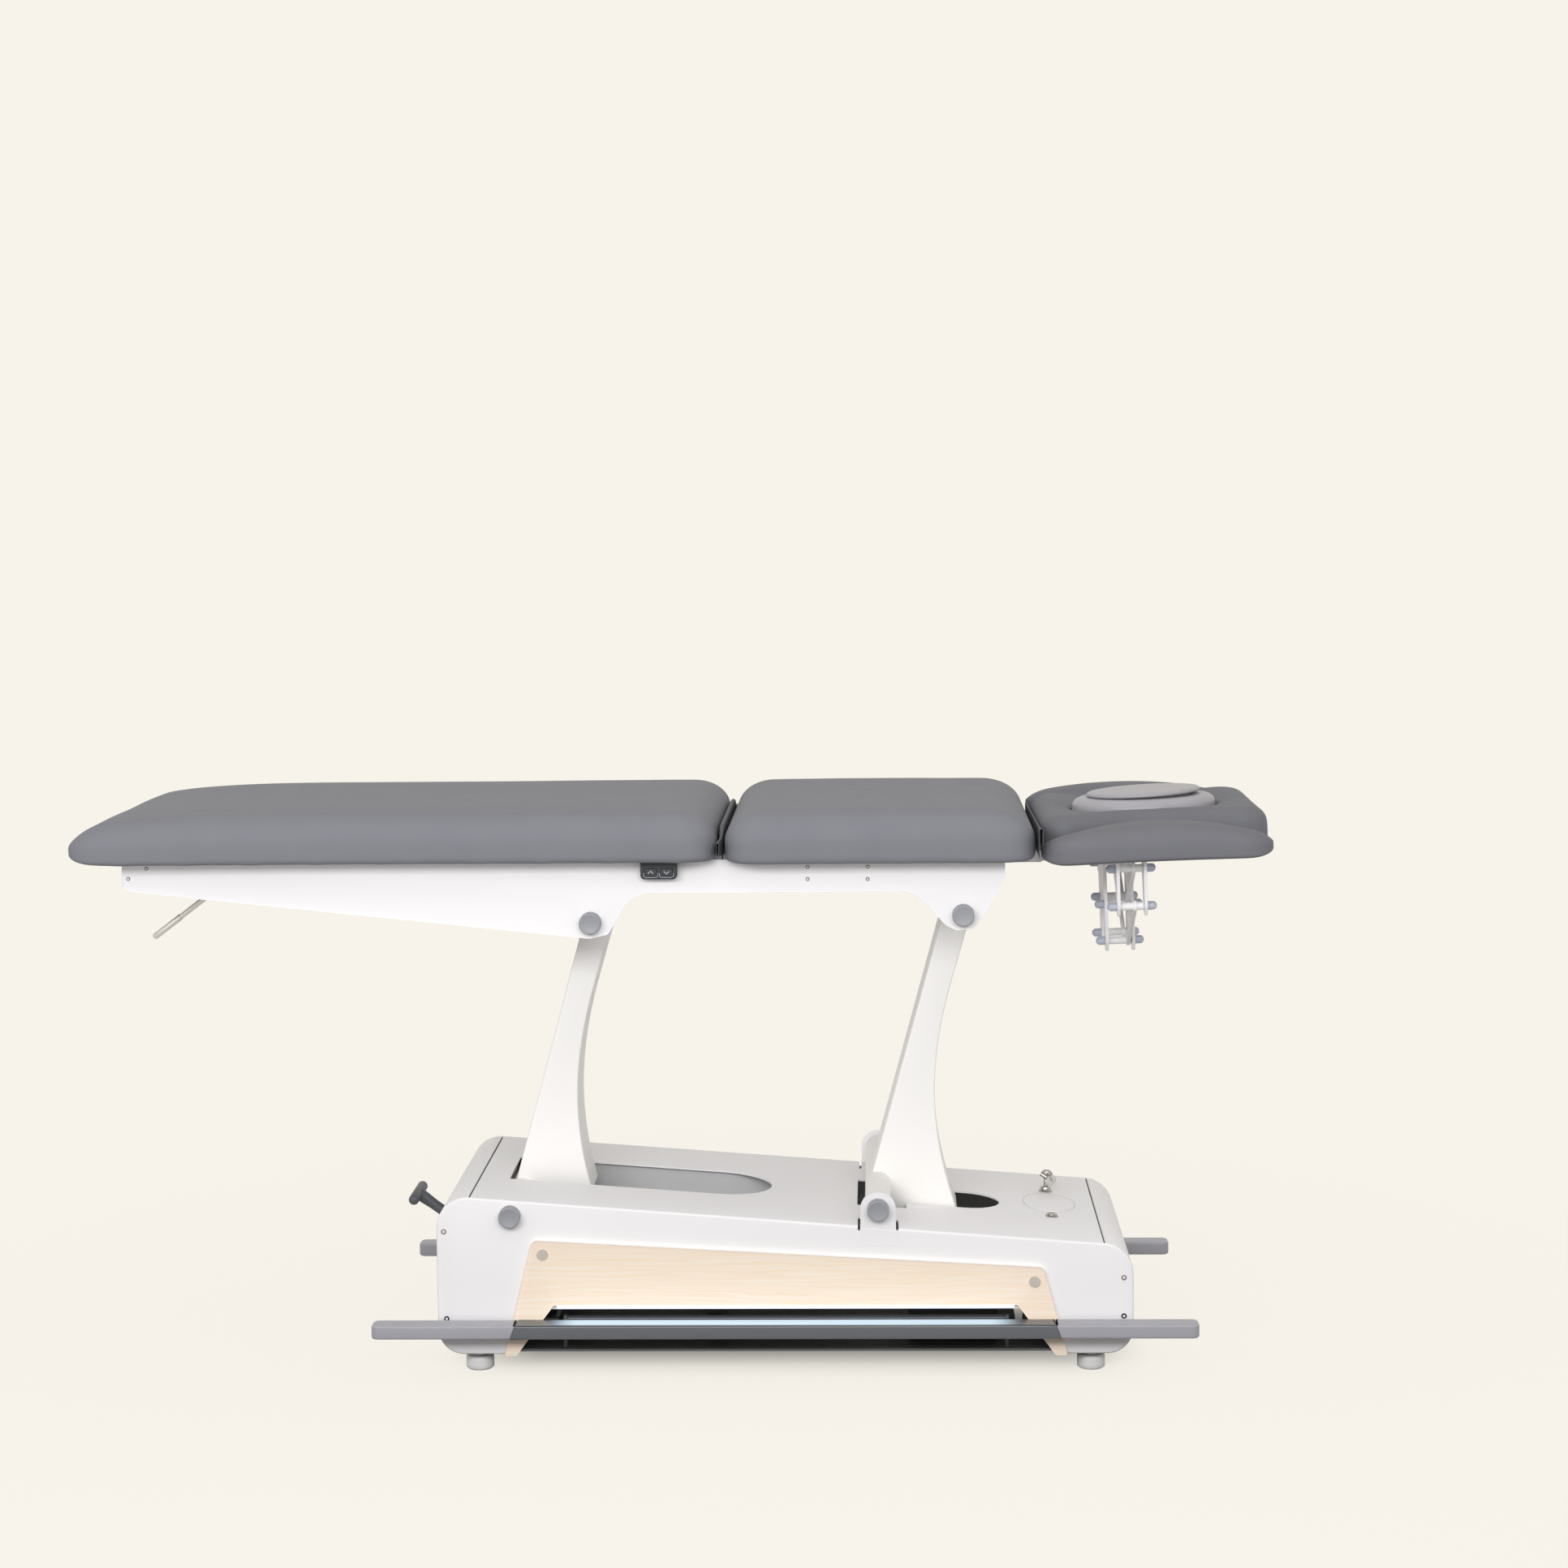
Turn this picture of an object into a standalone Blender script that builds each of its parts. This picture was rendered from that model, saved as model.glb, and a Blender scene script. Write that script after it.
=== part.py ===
"""Electric physiotherapy table: a lifting base, two parallel arms, a three-section top.

Units are metres and +Z is up. +X runs towards the head end, -Y is the near side, and the
origin lies on the floor under the middle of the top. The table is modelled raised.
"""

from math import atan2, cos, hypot, pi, radians, sin, tan

import bmesh
import bpy
import numpy as np
from mathutils import Matrix

# Fits and facets
SEAT = 0.0003            # gap between pieces that touch
RUN = 0.0005             # running clearance of a turning fit
ROUND = 20               # facets of a round piece
SMALL_ROUND = 12         # facets of a small pin or tube
ARC = 5                  # facets of a rounded corner

# Base
BASE_FOOT_X = -0.414
BASE_HEAD_X = 0.787
BASE_WIDTH = 0.512
BASE_BOTTOM = 0.037
BASE_TOP_FOOT = 0.318
BASE_TOP_HEAD = 0.227
BASE_TOP_RADIUS = 0.055
BASE_BOTTOM_RADIUS = 0.045
BASE_EDGE = 0.003        # rounding of the folded edges
SHEET = 0.003
COVER_GAP = 0.002        # slit between the top sheet and an end cover
FLOOR_THICKNESS = 0.004
FOOT_FOOT_X = -0.348
FOOT_HEAD_X = 0.717
FOOT_INSET = 0.051       # levelling feet inside the base sides
FLOOR_LIFT = 0.0045      # floor plate above the lower edge of the sides

# Lifting arms
ARM_LEAN = 16.16         # degrees from upright, table raised
ARM_LENGTH = 0.5317
ARM_DEPTH = 0.12
ARM_BACK_TOP = 0.0225
ARM_BACK_ROOT = 0.0150
ARM_NECK = 0.026
ARM_FLARE = 0.117
ARM_WAIST = 0.40
ARM_FLARE_POWER = 2.4
FOOT_PIVOT_X = -0.2857
FOOT_PIVOT_Z = 0.2815
HEAD_PIVOT_X = 0.3488
HEAD_PIVOT_Z = 0.2917
FOOT_ARM_ROOT = 0.035
HEAD_ARM_ROOT = -0.008
HEAD_ARM_HEEL = ((0.100, -0.022), (0.050, -0.034), (0.0, -0.040), (-0.0150, -0.030))
FOOT_ARM_HEEL = ((0.026, -0.010), (-0.0150, -0.005))
HUB_RADIUS = 0.0225
PIN_RADIUS = 0.012
CAP_RADIUS = 0.0186
CAP_HEIGHT = 0.0135
CAP_BEVEL = 0.0025

# Slots in the top sheet
FOOT_SLOT_START = -0.305
FOOT_SLOT_END = 0.158
FOOT_SLOT_WIDTH = 0.185
HEAD_SLOT_START = 0.312
HEAD_SLOT_END = 0.566
HEAD_SLOT_WIDTH = 0.128
EAR_HALF = 0.0305
EAR_RELIEF = 0.0045
EAR_SLIT = 0.060         # relief cut into the top sheet
EAR_DROP = 0.006         # relief cut down the side

# Wood panels and light strips
WOOD_THICKNESS = 0.0085
WOOD_TOP_FOOT = (-0.248, 0.2394)
WOOD_TOP_HEAD = (0.632, 0.1905)
WOOD_TOE_FOOT = -0.2985
WOOD_TOE_HEAD = 0.674
WOOD_TOE_WIDTH = 0.021
NOTCH_TOP = 0.1258
NOTCH_FOOT = -0.2116
NOTCH_HEAD = 0.5872
STRIP_HEIGHT = 0.0068
NOTCH_HIDE = 0.006       # housing cut behind the panel's edge

# Foot bars
BAR_PROUD = 0.0565       # outer face beyond the base side
BAR_DEPTH = 0.043
BAR_HEIGHT = 0.0235
BAR_BOTTOM = 0.0785
BAR_CHAMFER = 0.003
BAR_FOOT_X = -0.5225
BAR_HEAD_X = 0.8952
BAR_JOINT_FOOT = -0.2793
BAR_JOINT_HEAD = 0.6560
BAR_JOINT_SLANT = 0.41
BAR_END_ROUND = 0.014
BAR_AXIS_INSET = 0.031   # pivot tube inside the base side
BAR_TUBE_RADIUS = 0.008
BAR_WEB = 0.006

# Castor lift
PEDAL_X = -0.224
CASTOR_HEAD_X = 0.735
CASTOR_Z = 0.075
PEDAL_RISE = 36.2        # degrees of the pedal stem above level
PEDAL_LENGTH = 0.319
PEDAL_STEM = 0.010
PEDAL_GRIP = 0.0092
PEDAL_GRIP_LENGTH = 0.122
PEDAL_TRAVEL = 35.0      # degrees
CASTOR_TRACK = 0.32
CASTOR_ARM = 0.11
CASTOR_SHAFT = 0.010
WHEEL_RADIUS = 0.025
WHEEL_WIDTH = 0.022
WHEEL_CLEAR = 0.008      # free space round a wheel
AXLE_RADIUS = 0.005
TIE_RISE = 0.036
TIE_Y = 0.10

# Lift drive
TAIL_LENGTH = 0.15
LIFT_TRAVEL = 62.0       # degrees
DRIVE_RADIUS = 0.022
DRIVE_ROD = 0.010
DRIVE_START = 0.03
DRIVE_END = 0.222
TAIL_THICKNESS = 0.016
TAIL_PIN = 0.006

# Control box and cable loom
BOX_X = 0.4775
BOX_LENGTH = 0.155
BOX_WIDTH = 0.10
BOX_HEIGHT = 0.07
BOX_INSET = 0.048        # inside the base side
LOOM_PLUG = 0.0225       # loom outlet from the middle of the box
LOOM_BEND = 0.041
LOOM_DROP = 0.0365       # crest of the loom below the top sheet

# Top frame
FRAME_PROUD = 0.008      # side plates beyond the base sides
FRAME_PLATE = 0.005
FRAME_FOOT_X = -0.939
FRAME_HEAD_X = 0.568
FRAME_TOP = 0.899
FRAME_FOOT_DROP = 0.049
FRAME_BELLY = 0.8425
LOBE_RADIUS = 0.027
MID_RAIL = 0.080         # inner face of the rails under the fixed section
HEAD_RAIL = 0.058        # inner face of the head section's hinge rails
LEG_RAIL = 0.185
RAIL_WIDTH = 0.025
HINGE_BEAM = 0.215
FRAME_TUBE = 0.030

# Upholstered sections
PAD_BOTTOM = 0.902
PAD_THICKNESS = 0.083
PAD_WIDTH = 0.664
PAD_FOOT_X = -1.030
LEG_HINGE_X = 0.0863
LEG_HINGE_Z = 0.948
LEG_CLEAR = 0.0033       # each pad back from the hinge line
MID_PAD_END = 0.6230
LEG_TRAVEL = 70.0
ROLL = 0.060             # rolled edge at the ends
SIDE_ROLL = 0.048
SHARPEST = 0.004         # least corner radius of a drawn-in plan
DRAW_IN = 0.0045         # long sides pulled in between the corners
PAD_SIDE_PARTS = 5
PAD_END_PARTS = 3
CROWN = 0.004
NOSE_THINNING = 0.36     # share of the thickness lost at the foot end
NOSE_REACH = 0.09

# Head section, in its own level frame
HEAD_HINGE_X = 0.6255
HEAD_HINGE_Z = 0.880
HEAD_TILT = 2.1          # degrees, head end up
HEAD_PAD_LIFT = 0.0165   # pad underside above the hinge line
HEAD_PAD_THICKNESS = 0.066
HEAD_PAD_START = 0.0040
HEAD_PAD_LENGTH = 0.4000
HEAD_PAD_HALF = PAD_WIDTH / 2 - 0.100
HEAD_PAD_WAIST = PAD_WIDTH / 2 - 0.168
HEAD_PAD_END_HALF = PAD_WIDTH / 2 - 0.110
ARMREST_THICKNESS = 0.058
ARMREST_OUTER = PAD_WIDTH / 2 - 0.0005
ARMREST_SEAM = 0.018     # gap beside the head pad
ARMREST_SHORT = 0.007    # noses short of the head pad's end
ARMREST_DROP = 0.004
ARMREST_NOSE = 0.62      # thickness share left at the ends
FACE_X = 0.201
FACE_HALF_LENGTH = 0.127
FACE_HALF_WIDTH = 0.108
RING_RISE = 0.0085
LID_HALF_LENGTH = 0.1
LID_HALF_WIDTH = 0.084
LID_THICKNESS = 0.008
LID_TILT = 1.4           # head end up

# Armrest linkage
LINK_PIN = 0.004
LINK_BUSH = 0.0068
LINK_SPACING = 0.065
LINK_CENTRE_Y = 0.05
NEAR_LINK_ANGLE = 24.4
FAR_LINK_ANGLE = 29.9
BRACKET_INSET = 0.092    # bracket's pins inside the armrest's outer edge
BRACKET_DROP = 0.0088    # bracket's upper pin below the hinge line
LINK_LENGTH = (PAD_WIDTH / 2 - BRACKET_INSET - LINK_CENTRE_Y) / cos(radians(NEAR_LINK_ANGLE))
LINK_CENTRE_DROP = BRACKET_DROP + LINK_LENGTH * sin(radians(NEAR_LINK_ANGLE))
CENTRE_PLATE_X = 0.1268
LINK_PLATE_GAP = 0.0407
BRACKET_SHIFT = 0.0095
LINK_PLATE = 0.004
DOME_RADIUS = 0.0072
DOME_LENGTH = 0.0165

# Controls
SWITCH_X = -0.019
SWITCH_WIDTH = 0.062
SWITCH_HEIGHT = 0.030
SWITCH_DEPTH = 0.020
BUTTON_WIDTH = 0.021
BUTTON_HEIGHT = 0.013
BUTTON_RISE = 0.0015
BUTTON_TRAVEL = 0.001
LEVER_PIVOT_X = -0.778
LEVER_PIVOT_Z = 0.860
LEVER_LENGTH = 0.213
LEVER_SLOPE = 37.0
LEVER_RADIUS = 0.005
LOCK_X = 0.655
LOCK_Y = 0.115
HATCH_X = 0.656
HATCH_Y = 0.018

# Worked-out places
SIDE_OUT = BASE_WIDTH / 2
SIDE_IN = SIDE_OUT - SHEET
TOP_SLOPE = (BASE_TOP_FOOT - BASE_TOP_HEAD) / (BASE_HEAD_X - BASE_FOOT_X)
TOP_ANGLE = atan2(BASE_TOP_FOOT - BASE_TOP_HEAD, BASE_HEAD_X - BASE_FOOT_X)
FLOOR_BOTTOM = BASE_BOTTOM + FLOOR_LIFT
FLOOR_TOP = FLOOR_BOTTOM + FLOOR_THICKNESS
LEAN = radians(ARM_LEAN)
UPPER_SHIFT = (ARM_LENGTH * sin(LEAN), ARM_LENGTH * cos(LEAN))
FOOT_TOP_X = FOOT_PIVOT_X + UPPER_SHIFT[0]
FOOT_TOP_Z = FOOT_PIVOT_Z + UPPER_SHIFT[1]
HEAD_TOP_X = HEAD_PIVOT_X + UPPER_SHIFT[0]
HEAD_TOP_Z = HEAD_PIVOT_Z + UPPER_SHIFT[1]
FRAME_OUT = SIDE_OUT + FRAME_PROUD
FRAME_IN = FRAME_OUT - FRAME_PLATE
FOOT_GAP_X = BASE_FOOT_X + BASE_TOP_RADIUS / tan((pi / 2 - TOP_ANGLE) / 2)
HEAD_GAP_X = BASE_HEAD_X - BASE_TOP_RADIUS / tan((pi / 2 + TOP_ANGLE) / 2)
BAR_OUT = SIDE_OUT + BAR_PROUD
BAR_AXIS_Y = SIDE_OUT - BAR_AXIS_INSET
BAR_AXIS_Z = BAR_BOTTOM + BAR_HEIGHT / 2


def top_at(x):
    """Height of the sloping top sheet at x."""
    return BASE_TOP_FOOT - TOP_SLOPE * (x - BASE_FOOT_X)


def bore(radius, facets=ROUND):
    """Corner radius of a faceted bore that clears a pin of this radius."""
    return (radius + RUN) / cos(pi / facets)


def outline(corners, step=None):
    """Closed outline from (u, v, radius) corners, each rounded by a tangent arc."""
    points = []
    count = len(corners)
    for i, (u, v, radius) in enumerate(corners):
        here = np.array((u, v))
        back = np.array(corners[i - 1][:2]) - here
        ahead = np.array(corners[(i + 1) % count][:2]) - here
        back = back / hypot(*back)
        ahead = ahead / hypot(*ahead)
        if radius <= 0:
            points.append(here)
            continue
        half = np.arccos(np.clip(back @ ahead, -1, 1)) / 2
        run = radius / tan(half)
        middle = here + (back + ahead) / hypot(*(back + ahead)) * radius / sin(half)
        first = here + back * run - middle
        last = here + ahead * run - middle
        start = atan2(first[1], first[0])
        turn = (atan2(last[1], last[0]) - start + pi) % (2 * pi) - pi
        for share in np.linspace(0, 1, ARC + 1):
            angle = start + turn * share
            points.append(middle + radius * np.array((cos(angle), sin(angle))))
    points = np.array(points)
    return points if step is None else subdivided(points, step)


def subdivided(points, step):
    """The same closed outline with no side longer than step."""
    closed = []
    for start, end in zip(points, np.roll(points, -1, axis=0)):
        parts = max(1, int(np.ceil(hypot(*(end - start)) / step)))
        closed.extend(start + (end - start) * share for share in np.arange(parts) / parts)
    return np.array(closed)


def circle(radius, facets=ROUND, centre=(0, 0)):
    """Points of a regular outline round a centre."""
    turn = 2 * pi * np.arange(facets) / facets
    return np.stack([centre[0] + radius * np.cos(turn), centre[1] + radius * np.sin(turn)], 1)


def oval(half_u, half_v, centre=(0, 0), facets=32):
    """Points of an ellipse."""
    turn = 2 * pi * np.arange(facets) / facets
    return np.stack([centre[0] + half_u * np.cos(turn), centre[1] + half_v * np.sin(turn)], 1)


def lift(points, height, plane):
    """A plane outline as 3-D points at a height along the third axis."""
    flat = np.asarray(points, float)
    level = np.broadcast_to(np.asarray(height, float), len(flat))
    order = {"XY": (flat[:, 0], flat[:, 1], level),
             "XZ": (flat[:, 0], level, flat[:, 1]),
             "YZ": (level, flat[:, 0], flat[:, 1])}
    return np.stack(order[plane], 1)


def loft(rings, closed=False):
    """Mesh that joins equal rings of points, capped at its ends unless it closes on itself."""
    count = len(rings[0])
    body = bmesh.new()
    rows = [[body.verts.new(point) for point in ring] for ring in rings]
    pairs = list(zip(rows, rows[1:]))
    if closed:
        pairs.append((rows[-1], rows[0]))
    for low, high in pairs:
        for i in range(count):
            j = (i + 1) % count
            body.faces.new((low[i], low[j], high[j], high[i]))
    if not closed:
        body.faces.new(rows[0])
        body.faces.new(rows[-1])
    bmesh.ops.recalc_face_normals(body, faces=body.faces)
    mesh = bpy.data.meshes.new("solid")
    body.to_mesh(mesh)
    body.free()
    return mesh


def prism(points, low, high, plane):
    """A straight extrusion of an outline between two heights."""
    return loft([lift(points, low, plane), lift(points, high, plane)])


def block(low, high):
    """A box between two corners."""
    square = [(low[0], low[1]), (high[0], low[1]), (high[0], high[1]), (low[0], high[1])]
    return prism(square, low[2], high[2], "XY")


def turned(profile, centre, axis, facets=ROUND):
    """A turned solid: (distance along axis, radius) steps about a line through the centre."""
    plane = {"X": "YZ", "Y": "XZ", "Z": "XY"}[axis]
    return loft([lift(circle(radius, facets, centre), along, plane) for along, radius in profile])


def band(path, thickness):
    """Outline of a folded sheet: an open path thickened to its left."""
    path = np.asarray(path, float)
    along = np.gradient(path, axis=0)
    along = along / np.hypot(along[:, 0], along[:, 1])[:, None]
    left = np.stack([-along[:, 1], along[:, 0]], 1)
    return np.concatenate([path, (path + left * thickness)[::-1]])


def swept(path, radius, facets=SMALL_ROUND):
    """A round bar along a smooth path; radius may change from point to point."""
    path = np.asarray(path, float)
    radius = np.broadcast_to(np.asarray(radius, float), len(path))
    along = np.gradient(path, axis=0)
    along = along / np.linalg.norm(along, axis=1)[:, None]
    guide = np.array((0.0, 1.0, 0.0)) if abs(along[0][1]) < 0.7 else np.array((1.0, 0.0, 0.0))
    turn = 2 * pi * np.arange(facets) / facets
    rings = []
    for point, heading, size in zip(path, along, radius):
        side = guide - heading * (guide @ heading)
        side = side / np.linalg.norm(side)
        guide = side
        other = np.cross(heading, side)
        rings.append(point + size * (np.cos(turn)[:, None] * side + np.sin(turn)[:, None] * other))
    return loft(rings)


MATERIALS = {}


def material(name, colour, roughness, metallic=0.0):
    """A Principled surface, made once for each finish."""
    if name not in MATERIALS:
        finish = bpy.data.materials.new(name)
        finish.use_nodes = True
        shader = finish.node_tree.nodes["Principled BSDF"]
        shader.inputs["Base Color"].default_value = (*colour, 1)
        shader.inputs["Roughness"].default_value = roughness
        shader.inputs["Metallic"].default_value = metallic
        MATERIALS[name] = finish
    return MATERIALS[name]


def white_coat():
    return material("white_powder_coat", (0.86, 0.85, 0.86), 0.45)


def black_coat():
    return material("black_powder_coat", (0.03, 0.03, 0.032), 0.5)


def grey_coat():
    return material("grey_powder_coat", (0.36, 0.36, 0.37), 0.5)


def vinyl():
    return material("grey_vinyl", (0.2, 0.2, 0.215), 0.5)


def grey_plastic():
    return material("grey_plastic", (0.36, 0.36, 0.4), 0.45)


def dark_plastic():
    return material("dark_plastic", (0.045, 0.047, 0.055), 0.5)


def steel():
    return material("plain_steel", (0.55, 0.55, 0.56), 0.3, 1.0)


def oak():
    return material("oak_panel", (0.9, 0.72, 0.52), 0.5)


def light_end():
    return material("light_grey_cap", (0.37, 0.365, 0.4), 0.45)


def dark_bar():
    return material("dark_anodised", (0.12, 0.128, 0.145), 0.4, 0.6)


def frame(name, location, tilt=0.0):
    """An empty on a joint axis, tilted in degrees about Y, that carries a body's pieces."""
    holder = bpy.data.objects.new(name, None)
    bpy.context.scene.collection.objects.link(holder)
    holder.matrix_world = Matrix.Translation(location) @ Matrix.Rotation(radians(tilt), 4, "Y")
    return holder


def solid(name, mesh, holder, finish, joins=(), cuts=(), bevel=0.0):
    """One sub-part: a mesh with rounded edges, shapes welded on, then openings cut out."""
    part = bpy.data.objects.new(name, mesh)
    bpy.context.scene.collection.objects.link(part)
    part.parent = holder
    mesh.materials.append(finish)
    if bevel:
        rounding = part.modifiers.new("rounding", "BEVEL")
        rounding.width = bevel
        rounding.segments = 2
        rounding.limit_method = "ANGLE"
        rounding.angle_limit = radians(50)
    for operation, shapes in (("UNION", joins), ("DIFFERENCE", cuts)):
        for i, shape in enumerate(shapes):
            helper = bpy.data.objects.new(f"{name}_{operation.lower()}_{i}", shape)
            bpy.context.scene.collection.objects.link(helper)
            helper.parent = holder
            helper.hide_render = True
            helper.display_type = "WIRE"
            cut = part.modifiers.new(f"{operation.lower()}_{i}", "BOOLEAN")
            cut.operation = operation
            cut.object = helper
    return part


SIDES = (("near", -1), ("far", 1))


def base_outline():
    return [(BASE_FOOT_X, BASE_BOTTOM, BASE_BOTTOM_RADIUS),
            (BASE_HEAD_X, BASE_BOTTOM, BASE_BOTTOM_RADIUS),
            (BASE_HEAD_X, BASE_TOP_HEAD, BASE_TOP_RADIUS),
            (BASE_FOOT_X, BASE_TOP_FOOT, BASE_TOP_RADIUS)]


def slot(start, end, width, square_start):
    """Plan outline of a slot whose head end is round."""
    half = width / 2
    corner = half * 0.999
    first = 0.004 if square_start else corner
    return outline([(start, -half, first), (end, -half, corner),
                    (end, half, corner), (start, half, first)])


def base_housing(base):
    """Folded sheet housing: the top and both sides in one, with arm slots and pivot ears."""
    over = 1.0
    under_top = [(-over, -over), (over, -over), (over, over), (HEAD_GAP_X, over),
                 (HEAD_GAP_X, top_at(HEAD_GAP_X) - SHEET),
                 (FOOT_GAP_X, top_at(FOOT_GAP_X) - SHEET), (FOOT_GAP_X, over), (-over, over)]
    deep = NOTCH_TOP - BASE_BOTTOM
    foot_slant = (NOTCH_FOOT - WOOD_TOE_FOOT - WOOD_TOE_WIDTH) / deep
    head_slant = (WOOD_TOE_HEAD - WOOD_TOE_WIDTH - NOTCH_HEAD) / deep
    notch = []
    for drop in (2 * deep, STRIP_HEIGHT + 0.002):
        ends = [(NOTCH_FOOT - foot_slant * drop - NOTCH_HIDE, NOTCH_TOP - drop),
                (NOTCH_HEAD + head_slant * drop + NOTCH_HIDE, NOTCH_TOP - drop)]
        notch += ends if not notch else ends[::-1]
    pin = circle(bore(PIN_RADIUS))
    foot_pin = pin + (FOOT_PIVOT_X, FOOT_PIVOT_Z)
    head_pin = pin + (HEAD_PIVOT_X, HEAD_PIVOT_Z)
    ear_foot = top_at(HEAD_PIVOT_X) - 0.03
    ears = []
    reliefs = []
    for _, side in SIDES:
        tab = outline([(HEAD_PIVOT_X - EAR_HALF, ear_foot, 0), (HEAD_PIVOT_X + EAR_HALF, ear_foot, 0),
                       (HEAD_PIVOT_X + EAR_HALF, HEAD_PIVOT_Z + EAR_HALF, EAR_HALF * 0.999),
                       (HEAD_PIVOT_X - EAR_HALF, HEAD_PIVOT_Z + EAR_HALF, EAR_HALF * 0.999)])
        ears.append(prism(tab, side * SIDE_IN, side * (SIDE_OUT - 0.0002), "XZ"))
        for end in (-1, 1):
            near_edge = HEAD_PIVOT_X + end * (EAR_HALF + SEAT)
            far_edge = HEAD_PIVOT_X + end * (EAR_HALF + EAR_RELIEF)
            across = sorted((side * (SIDE_IN - EAR_SLIT), side * (SIDE_OUT + SHEET)))
            low = (min(near_edge, far_edge), across[0], top_at(HEAD_PIVOT_X) - EAR_DROP)
            high = (max(near_edge, far_edge), across[1], HEAD_PIVOT_Z)
            reliefs.append(block(low, high))
    crossing = block((HEAD_SLOT_START, -0.1, 0.2), (HEAD_PIVOT_X + 0.05, 0.1, 0.4))
    cuts = [prism(under_top, -SIDE_IN, SIDE_IN, "XZ"),
            prism(notch, -over, over, "XZ"),
            prism(foot_pin, -over, over, "XZ"),
            prism(slot(FOOT_SLOT_START, FOOT_SLOT_END, FOOT_SLOT_WIDTH, True), 0.2, 0.4, "XY"),
            prism(slot(HEAD_SLOT_START, HEAD_SLOT_END, HEAD_SLOT_WIDTH, True), 0.2, 0.4, "XY"),
            crossing, *reliefs]
    shell = prism(outline(base_outline()), -SIDE_OUT, SIDE_OUT, "XZ")
    housing = solid("base_housing", shell, base, white_coat(), (), cuts, BASE_EDGE)
    for i, ear in enumerate(ears):
        weld(housing, ear, f"ear_{i}", "UNION")
    weld(housing, prism(head_pin, -over, over, "XZ"), "head_pin", "DIFFERENCE")


def weld(part, shape, label, operation):
    """A later weld or cut on a sub-part, after its first openings."""
    helper = bpy.data.objects.new(f"{part.name}_{label}", shape)
    bpy.context.scene.collection.objects.link(helper)
    helper.parent = part.parent
    helper.hide_render = True
    helper.display_type = "WIRE"
    step = part.modifiers.new(label, "BOOLEAN")
    step.operation = operation
    step.object = helper


def end_covers(base):
    """Bent covers that close both ends between the housing's sides."""
    rim = outline(base_outline())
    reach = SIDE_IN - SEAT
    half = len(rim) // 4
    head = rim[half:3 * half]
    foot = np.roll(rim, half, axis=0)[:2 * half]
    slit = np.array((COVER_GAP, 0))
    foot_path = foot.copy()
    foot_path[0] = foot_path[0] - slit
    head_path = head.copy()
    head_path[-1] = head_path[-1] + slit
    stem = PEDAL_STEM + 0.003
    stem_line = CASTOR_Z + (PEDAL_X - BASE_FOOT_X) * tan(radians(PEDAL_RISE))
    opening = outline([(-stem, CASTOR_Z - stem, 0.004), (stem, CASTOR_Z - stem, 0.004),
                       (stem, stem_line + 1.5 * stem, stem * 0.999),
                       (-stem, stem_line + 1.5 * stem, stem * 0.999)])
    solid("foot_end_cover", prism(band(foot_path, SHEET), -reach, reach, "XZ"), base, white_coat(),
          (), [prism(opening, BASE_FOOT_X - 0.02, BASE_FOOT_X + 0.02, "YZ")])
    solid("head_end_cover", prism(band(head_path, SHEET), -reach, reach, "XZ"), base, white_coat())


def chassis(base):
    """Floor plate with lugs for the feet, foot bars, castor shafts and lift drive."""
    reach = SIDE_IN - SEAT
    inset = SHEET + BASE_BOTTOM_RADIUS - 0.007
    floor = block((BASE_FOOT_X + inset, -reach, FLOOR_BOTTOM), (BASE_HEAD_X - inset, reach, FLOOR_TOP))
    lugs = []
    sunk = FLOOR_BOTTOM + 0.001
    for _, side in SIDES:
        for x in (NOTCH_FOOT + 0.02, NOTCH_HEAD - 0.02):
            out = -1 if x < HEAD_PIVOT_X - 0.2 else 1
            low = (min(x + out * SEAT, x + out * 0.006), side * BAR_AXIS_Y - 0.012, sunk)
            high = (max(x + out * SEAT, x + out * 0.006), side * BAR_AXIS_Y + 0.012, BAR_AXIS_Z + 0.01)
            lugs.append(block(low, high))
        for x in (PEDAL_X, CASTOR_HEAD_X):
            inner = side * (CASTOR_TRACK / 2 + 0.03 + SEAT)
            outer = side * (CASTOR_TRACK / 2 + 0.036)
            lugs.append(block((x - 0.014, min(inner, outer), sunk),
                              (x + 0.014, max(inner, outer), CASTOR_Z + CASTOR_SHAFT)))
    stand_top = drive_height() - DRIVE_RADIUS - SEAT
    lugs.append(block((DRIVE_START + 0.01, -0.02, sunk), (DRIVE_START + 0.04, 0.02, stand_top)))
    bay_half = CASTOR_TRACK / 2 + WHEEL_WIDTH / 2 + WHEEL_CLEAR
    bays = [block((BASE_FOOT_X, -bay_half, 0), (PEDAL_X - WHEEL_CLEAR, bay_half, 0.08)),
            block((CASTOR_HEAD_X - CASTOR_ARM - WHEEL_RADIUS - WHEEL_CLEAR, -bay_half, 0),
                  (BASE_HEAD_X, bay_half, 0.08))]
    solid("chassis", floor, base, black_coat(), lugs, bays)


def drive_height():
    """Level of the lift drive: half way between the highest and lowest tail pin."""
    swing = radians(LIFT_TRAVEL / 2)
    return HEAD_PIVOT_Z - TAIL_LENGTH * (1 + cos(swing)) / 2


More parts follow.
